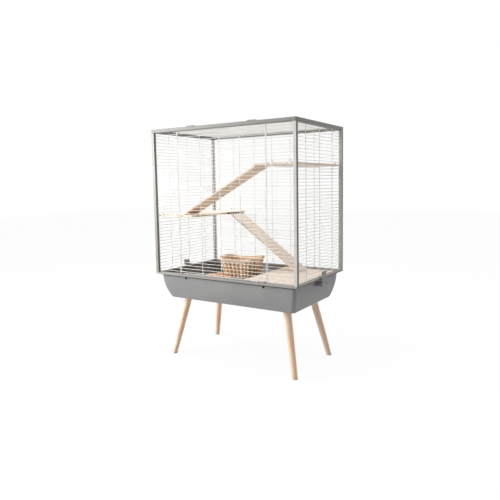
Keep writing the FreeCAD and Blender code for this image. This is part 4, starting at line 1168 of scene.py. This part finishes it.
heap = Stock()
pile_mound(heap)
heap_chance = random.Random(23)
for _ in range(CURLS):
    angle = heap_chance.uniform(0, 2 * math.pi)
    # The root sets more of the curls high on the heap, where they show.
    rise = heap_chance.random() ** 0.5
    base = mound_point(angle, rise, heap_chance.uniform(*CURL_DEPTHS_MM) * MM)
    curl(heap, base, mound_out(angle, min(rise, MOUND_BROW)), heap_chance)
shaving = wood_splint("Softwood shavings", ("#D98B45", "#E5A361", "#EFC89B", "#F6E4CD"), 6.0)
make_piece(heap, "bedding_curls", shaving, "cage", "bedding_shavings", "bedding")

# %% [markdown]
# ## Camera
# The camera stands to the right of the front, about level with the middle of the wire body, and looks
# slightly down. It could be set by eye, but the posts and rings are straight and upright, so a pinhole was
# fitted to their edges.

# %% Camera
PICTURE = 500
FOCAL_PIXELS = 492.5
PRINCIPAL_POINT = (263.0, 235.0)
CAMERA_PLACE = (1.3023, -1.9727, 0.8356)
CAMERA_YAW = 31.78
CAMERA_DOWN = 5.96
CAMERA_ROLL = -0.84

camera_data = bpy.data.cameras.new("camera")
camera_data.sensor_width = 36.0
camera_data.lens = FOCAL_PIXELS / PICTURE * camera_data.sensor_width
camera_data.shift_x = (PICTURE / 2 - PRINCIPAL_POINT[0]) / PICTURE
camera_data.shift_y = (PRINCIPAL_POINT[1] - PICTURE / 2) / PICTURE
camera = bpy.data.objects.new("camera", camera_data)
bpy.context.scene.collection.objects.link(camera)
turn = Matrix.Rotation(math.radians(CAMERA_YAW), 4, "Z")
tilt = Matrix.Rotation(math.radians(90 - CAMERA_DOWN), 4, "X")
roll = Matrix.Rotation(math.radians(CAMERA_ROLL), 4, "Z")
camera.matrix_world = Matrix.Translation(CAMERA_PLACE) @ turn @ tilt @ roll
bpy.context.scene.camera = camera
print(f"camera: {camera_data.lens:.2f} mm, shift {camera_data.shift_x:.3f} {camera_data.shift_y:.3f}")

# %% [markdown]
# ## Light
# A broad softbox on the front left is the key, and a weaker one above lifts the boards. Both are large,
# so shadows are soft. A third lamp could fill the right side, but the tray is to darken towards its right
# end, so it is left out.


# %% Light
def softbox(name, place, aim, size, power):
    """A square soft light that looks at a point."""
    data = bpy.data.lights.new(name, "AREA")
    data.shape = "SQUARE"
    data.size = size
    data.energy = power
    lamp = bpy.data.objects.new(name, data)
    bpy.context.scene.collection.objects.link(lamp)
    lamp.location = place
    lamp.rotation_mode = "QUATERNION"
    lamp.rotation_quaternion = (Vector(aim) - Vector(place)).to_track_quat("-Z", "Y")
    print(f"{name}: {power} W, {size} m wide")


CAGE_MIDDLE = (0, 0, 0.5)
softbox("key", (-1.9, -1.7, 1.3), CAGE_MIDDLE, size=1.4, power=68)
softbox("top", (0.0, -0.2, 3.2), CAGE_MIDDLE, size=2.0, power=30)

# %% [markdown]
# ## Studio
# Around the cage the studio gives even light, and fades to dark towards the front right, which shades the
# tray's end. To the camera, and in reflections, it is white paper instead. Light Path tells the two
# apart, so the white picture takes no extra light on the cage.

# %% Studio
DARK_TOWARDS = (0.66, -0.75, 0.0)


def seen_directly(tree):
    """1 where a ray comes from the camera or by way of a reflection or glass, and 0 for other light."""
    path = add(tree, "ShaderNodeLightPath").outputs
    either = add(tree, "ShaderNodeMath", {"operation": "MAXIMUM"}, in0=path["Is Camera Ray"],
                 in1=path["Is Glossy Ray"]).outputs[0]
    return add(tree, "ShaderNodeMath", {"operation": "MAXIMUM"}, in0=either,
               in1=path["Is Transmission Ray"]).outputs[0]


world = bpy.data.worlds.new("studio")
bpy.context.scene.world = world
world.use_nodes = True
sky = world.node_tree
sky.nodes.clear()
towards = add(sky, "ShaderNodeTexCoord").outputs["Generated"]
frontal = add(sky, "ShaderNodeVectorMath", {"operation": "DOT_PRODUCT"}, in0=towards, in1=DARK_TOWARDS)
level = add(sky, "ShaderNodeMapRange", Value=frontal.outputs["Value"], From_Min=0.1, From_Max=0.85,
            To_Min=1.0, To_Max=0.0)
studio = add(sky, "ShaderNodeBackground", Color=linear("#FFFFFF"), Strength=level.outputs[0])
paper = add(sky, "ShaderNodeBackground", Color=linear("#FFFFFF"), Strength=1.0)
shown = add(sky, "ShaderNodeMixShader", Fac=seen_directly(sky), in1=studio.outputs[0], in2=paper.outputs[0])
add(sky, "ShaderNodeOutputWorld", Surface=shown.outputs[0])
bpy.context.scene.view_settings.view_transform = "Standard"
print("studio:", len(sky.nodes), "nodes")

# %% [markdown]
# ## Floor
# The cage stands on white paper. To the camera, and in reflections, the paper glows most of the way to
# white. The rest of it is a diffuse floor, so it still takes the cage's shadow.

# %% Floor
FLOOR_HALF = 12.0
FLOOR_GLOW = 0.85
FLOOR_CORNERS = ((-1, -1), (1, -1), (1, 1), (-1, 1))

floor_mesh = bpy.data.meshes.new("floor")
floor_mesh.from_pydata([(x * FLOOR_HALF, y * FLOOR_HALF, 0) for x, y in FLOOR_CORNERS], [], [(0, 1, 2, 3)])
floor = bpy.data.objects.new("floor", floor_mesh)
bpy.context.scene.collection.objects.link(floor)
floor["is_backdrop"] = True
white_paper, tree = new_material("White paper")
matt = add(tree, "ShaderNodeBsdfDiffuse", Color=linear("#BDBDBD"))
glow = add(tree, "ShaderNodeEmission", Color=linear("#FFFFFF"), Strength=1.08)
share = add(tree, "ShaderNodeMath", {"operation": "MULTIPLY"}, in0=seen_directly(tree), in1=FLOOR_GLOW)
both = add(tree, "ShaderNodeMixShader", Fac=share.outputs[0], in1=matt.outputs[0], in2=glow.outputs[0])
add(tree, "ShaderNodeOutputMaterial", Surface=both.outputs[0])
floor_mesh.materials.append(white_paper)
print(f"floor: {2 * FLOOR_HALF:.0f} m of {white_paper.name.lower()}")

# %% [markdown]
# ## Sizes
# The dressed cage has to stay in the box of its solids, so both boxes are written out to compare.

# %% Sizes
look_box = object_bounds()
for label, (low, high) in (("solids", cad_box), ("dressed", look_box)):
    print(label, [round(side / MM, 1) for side in high - low])
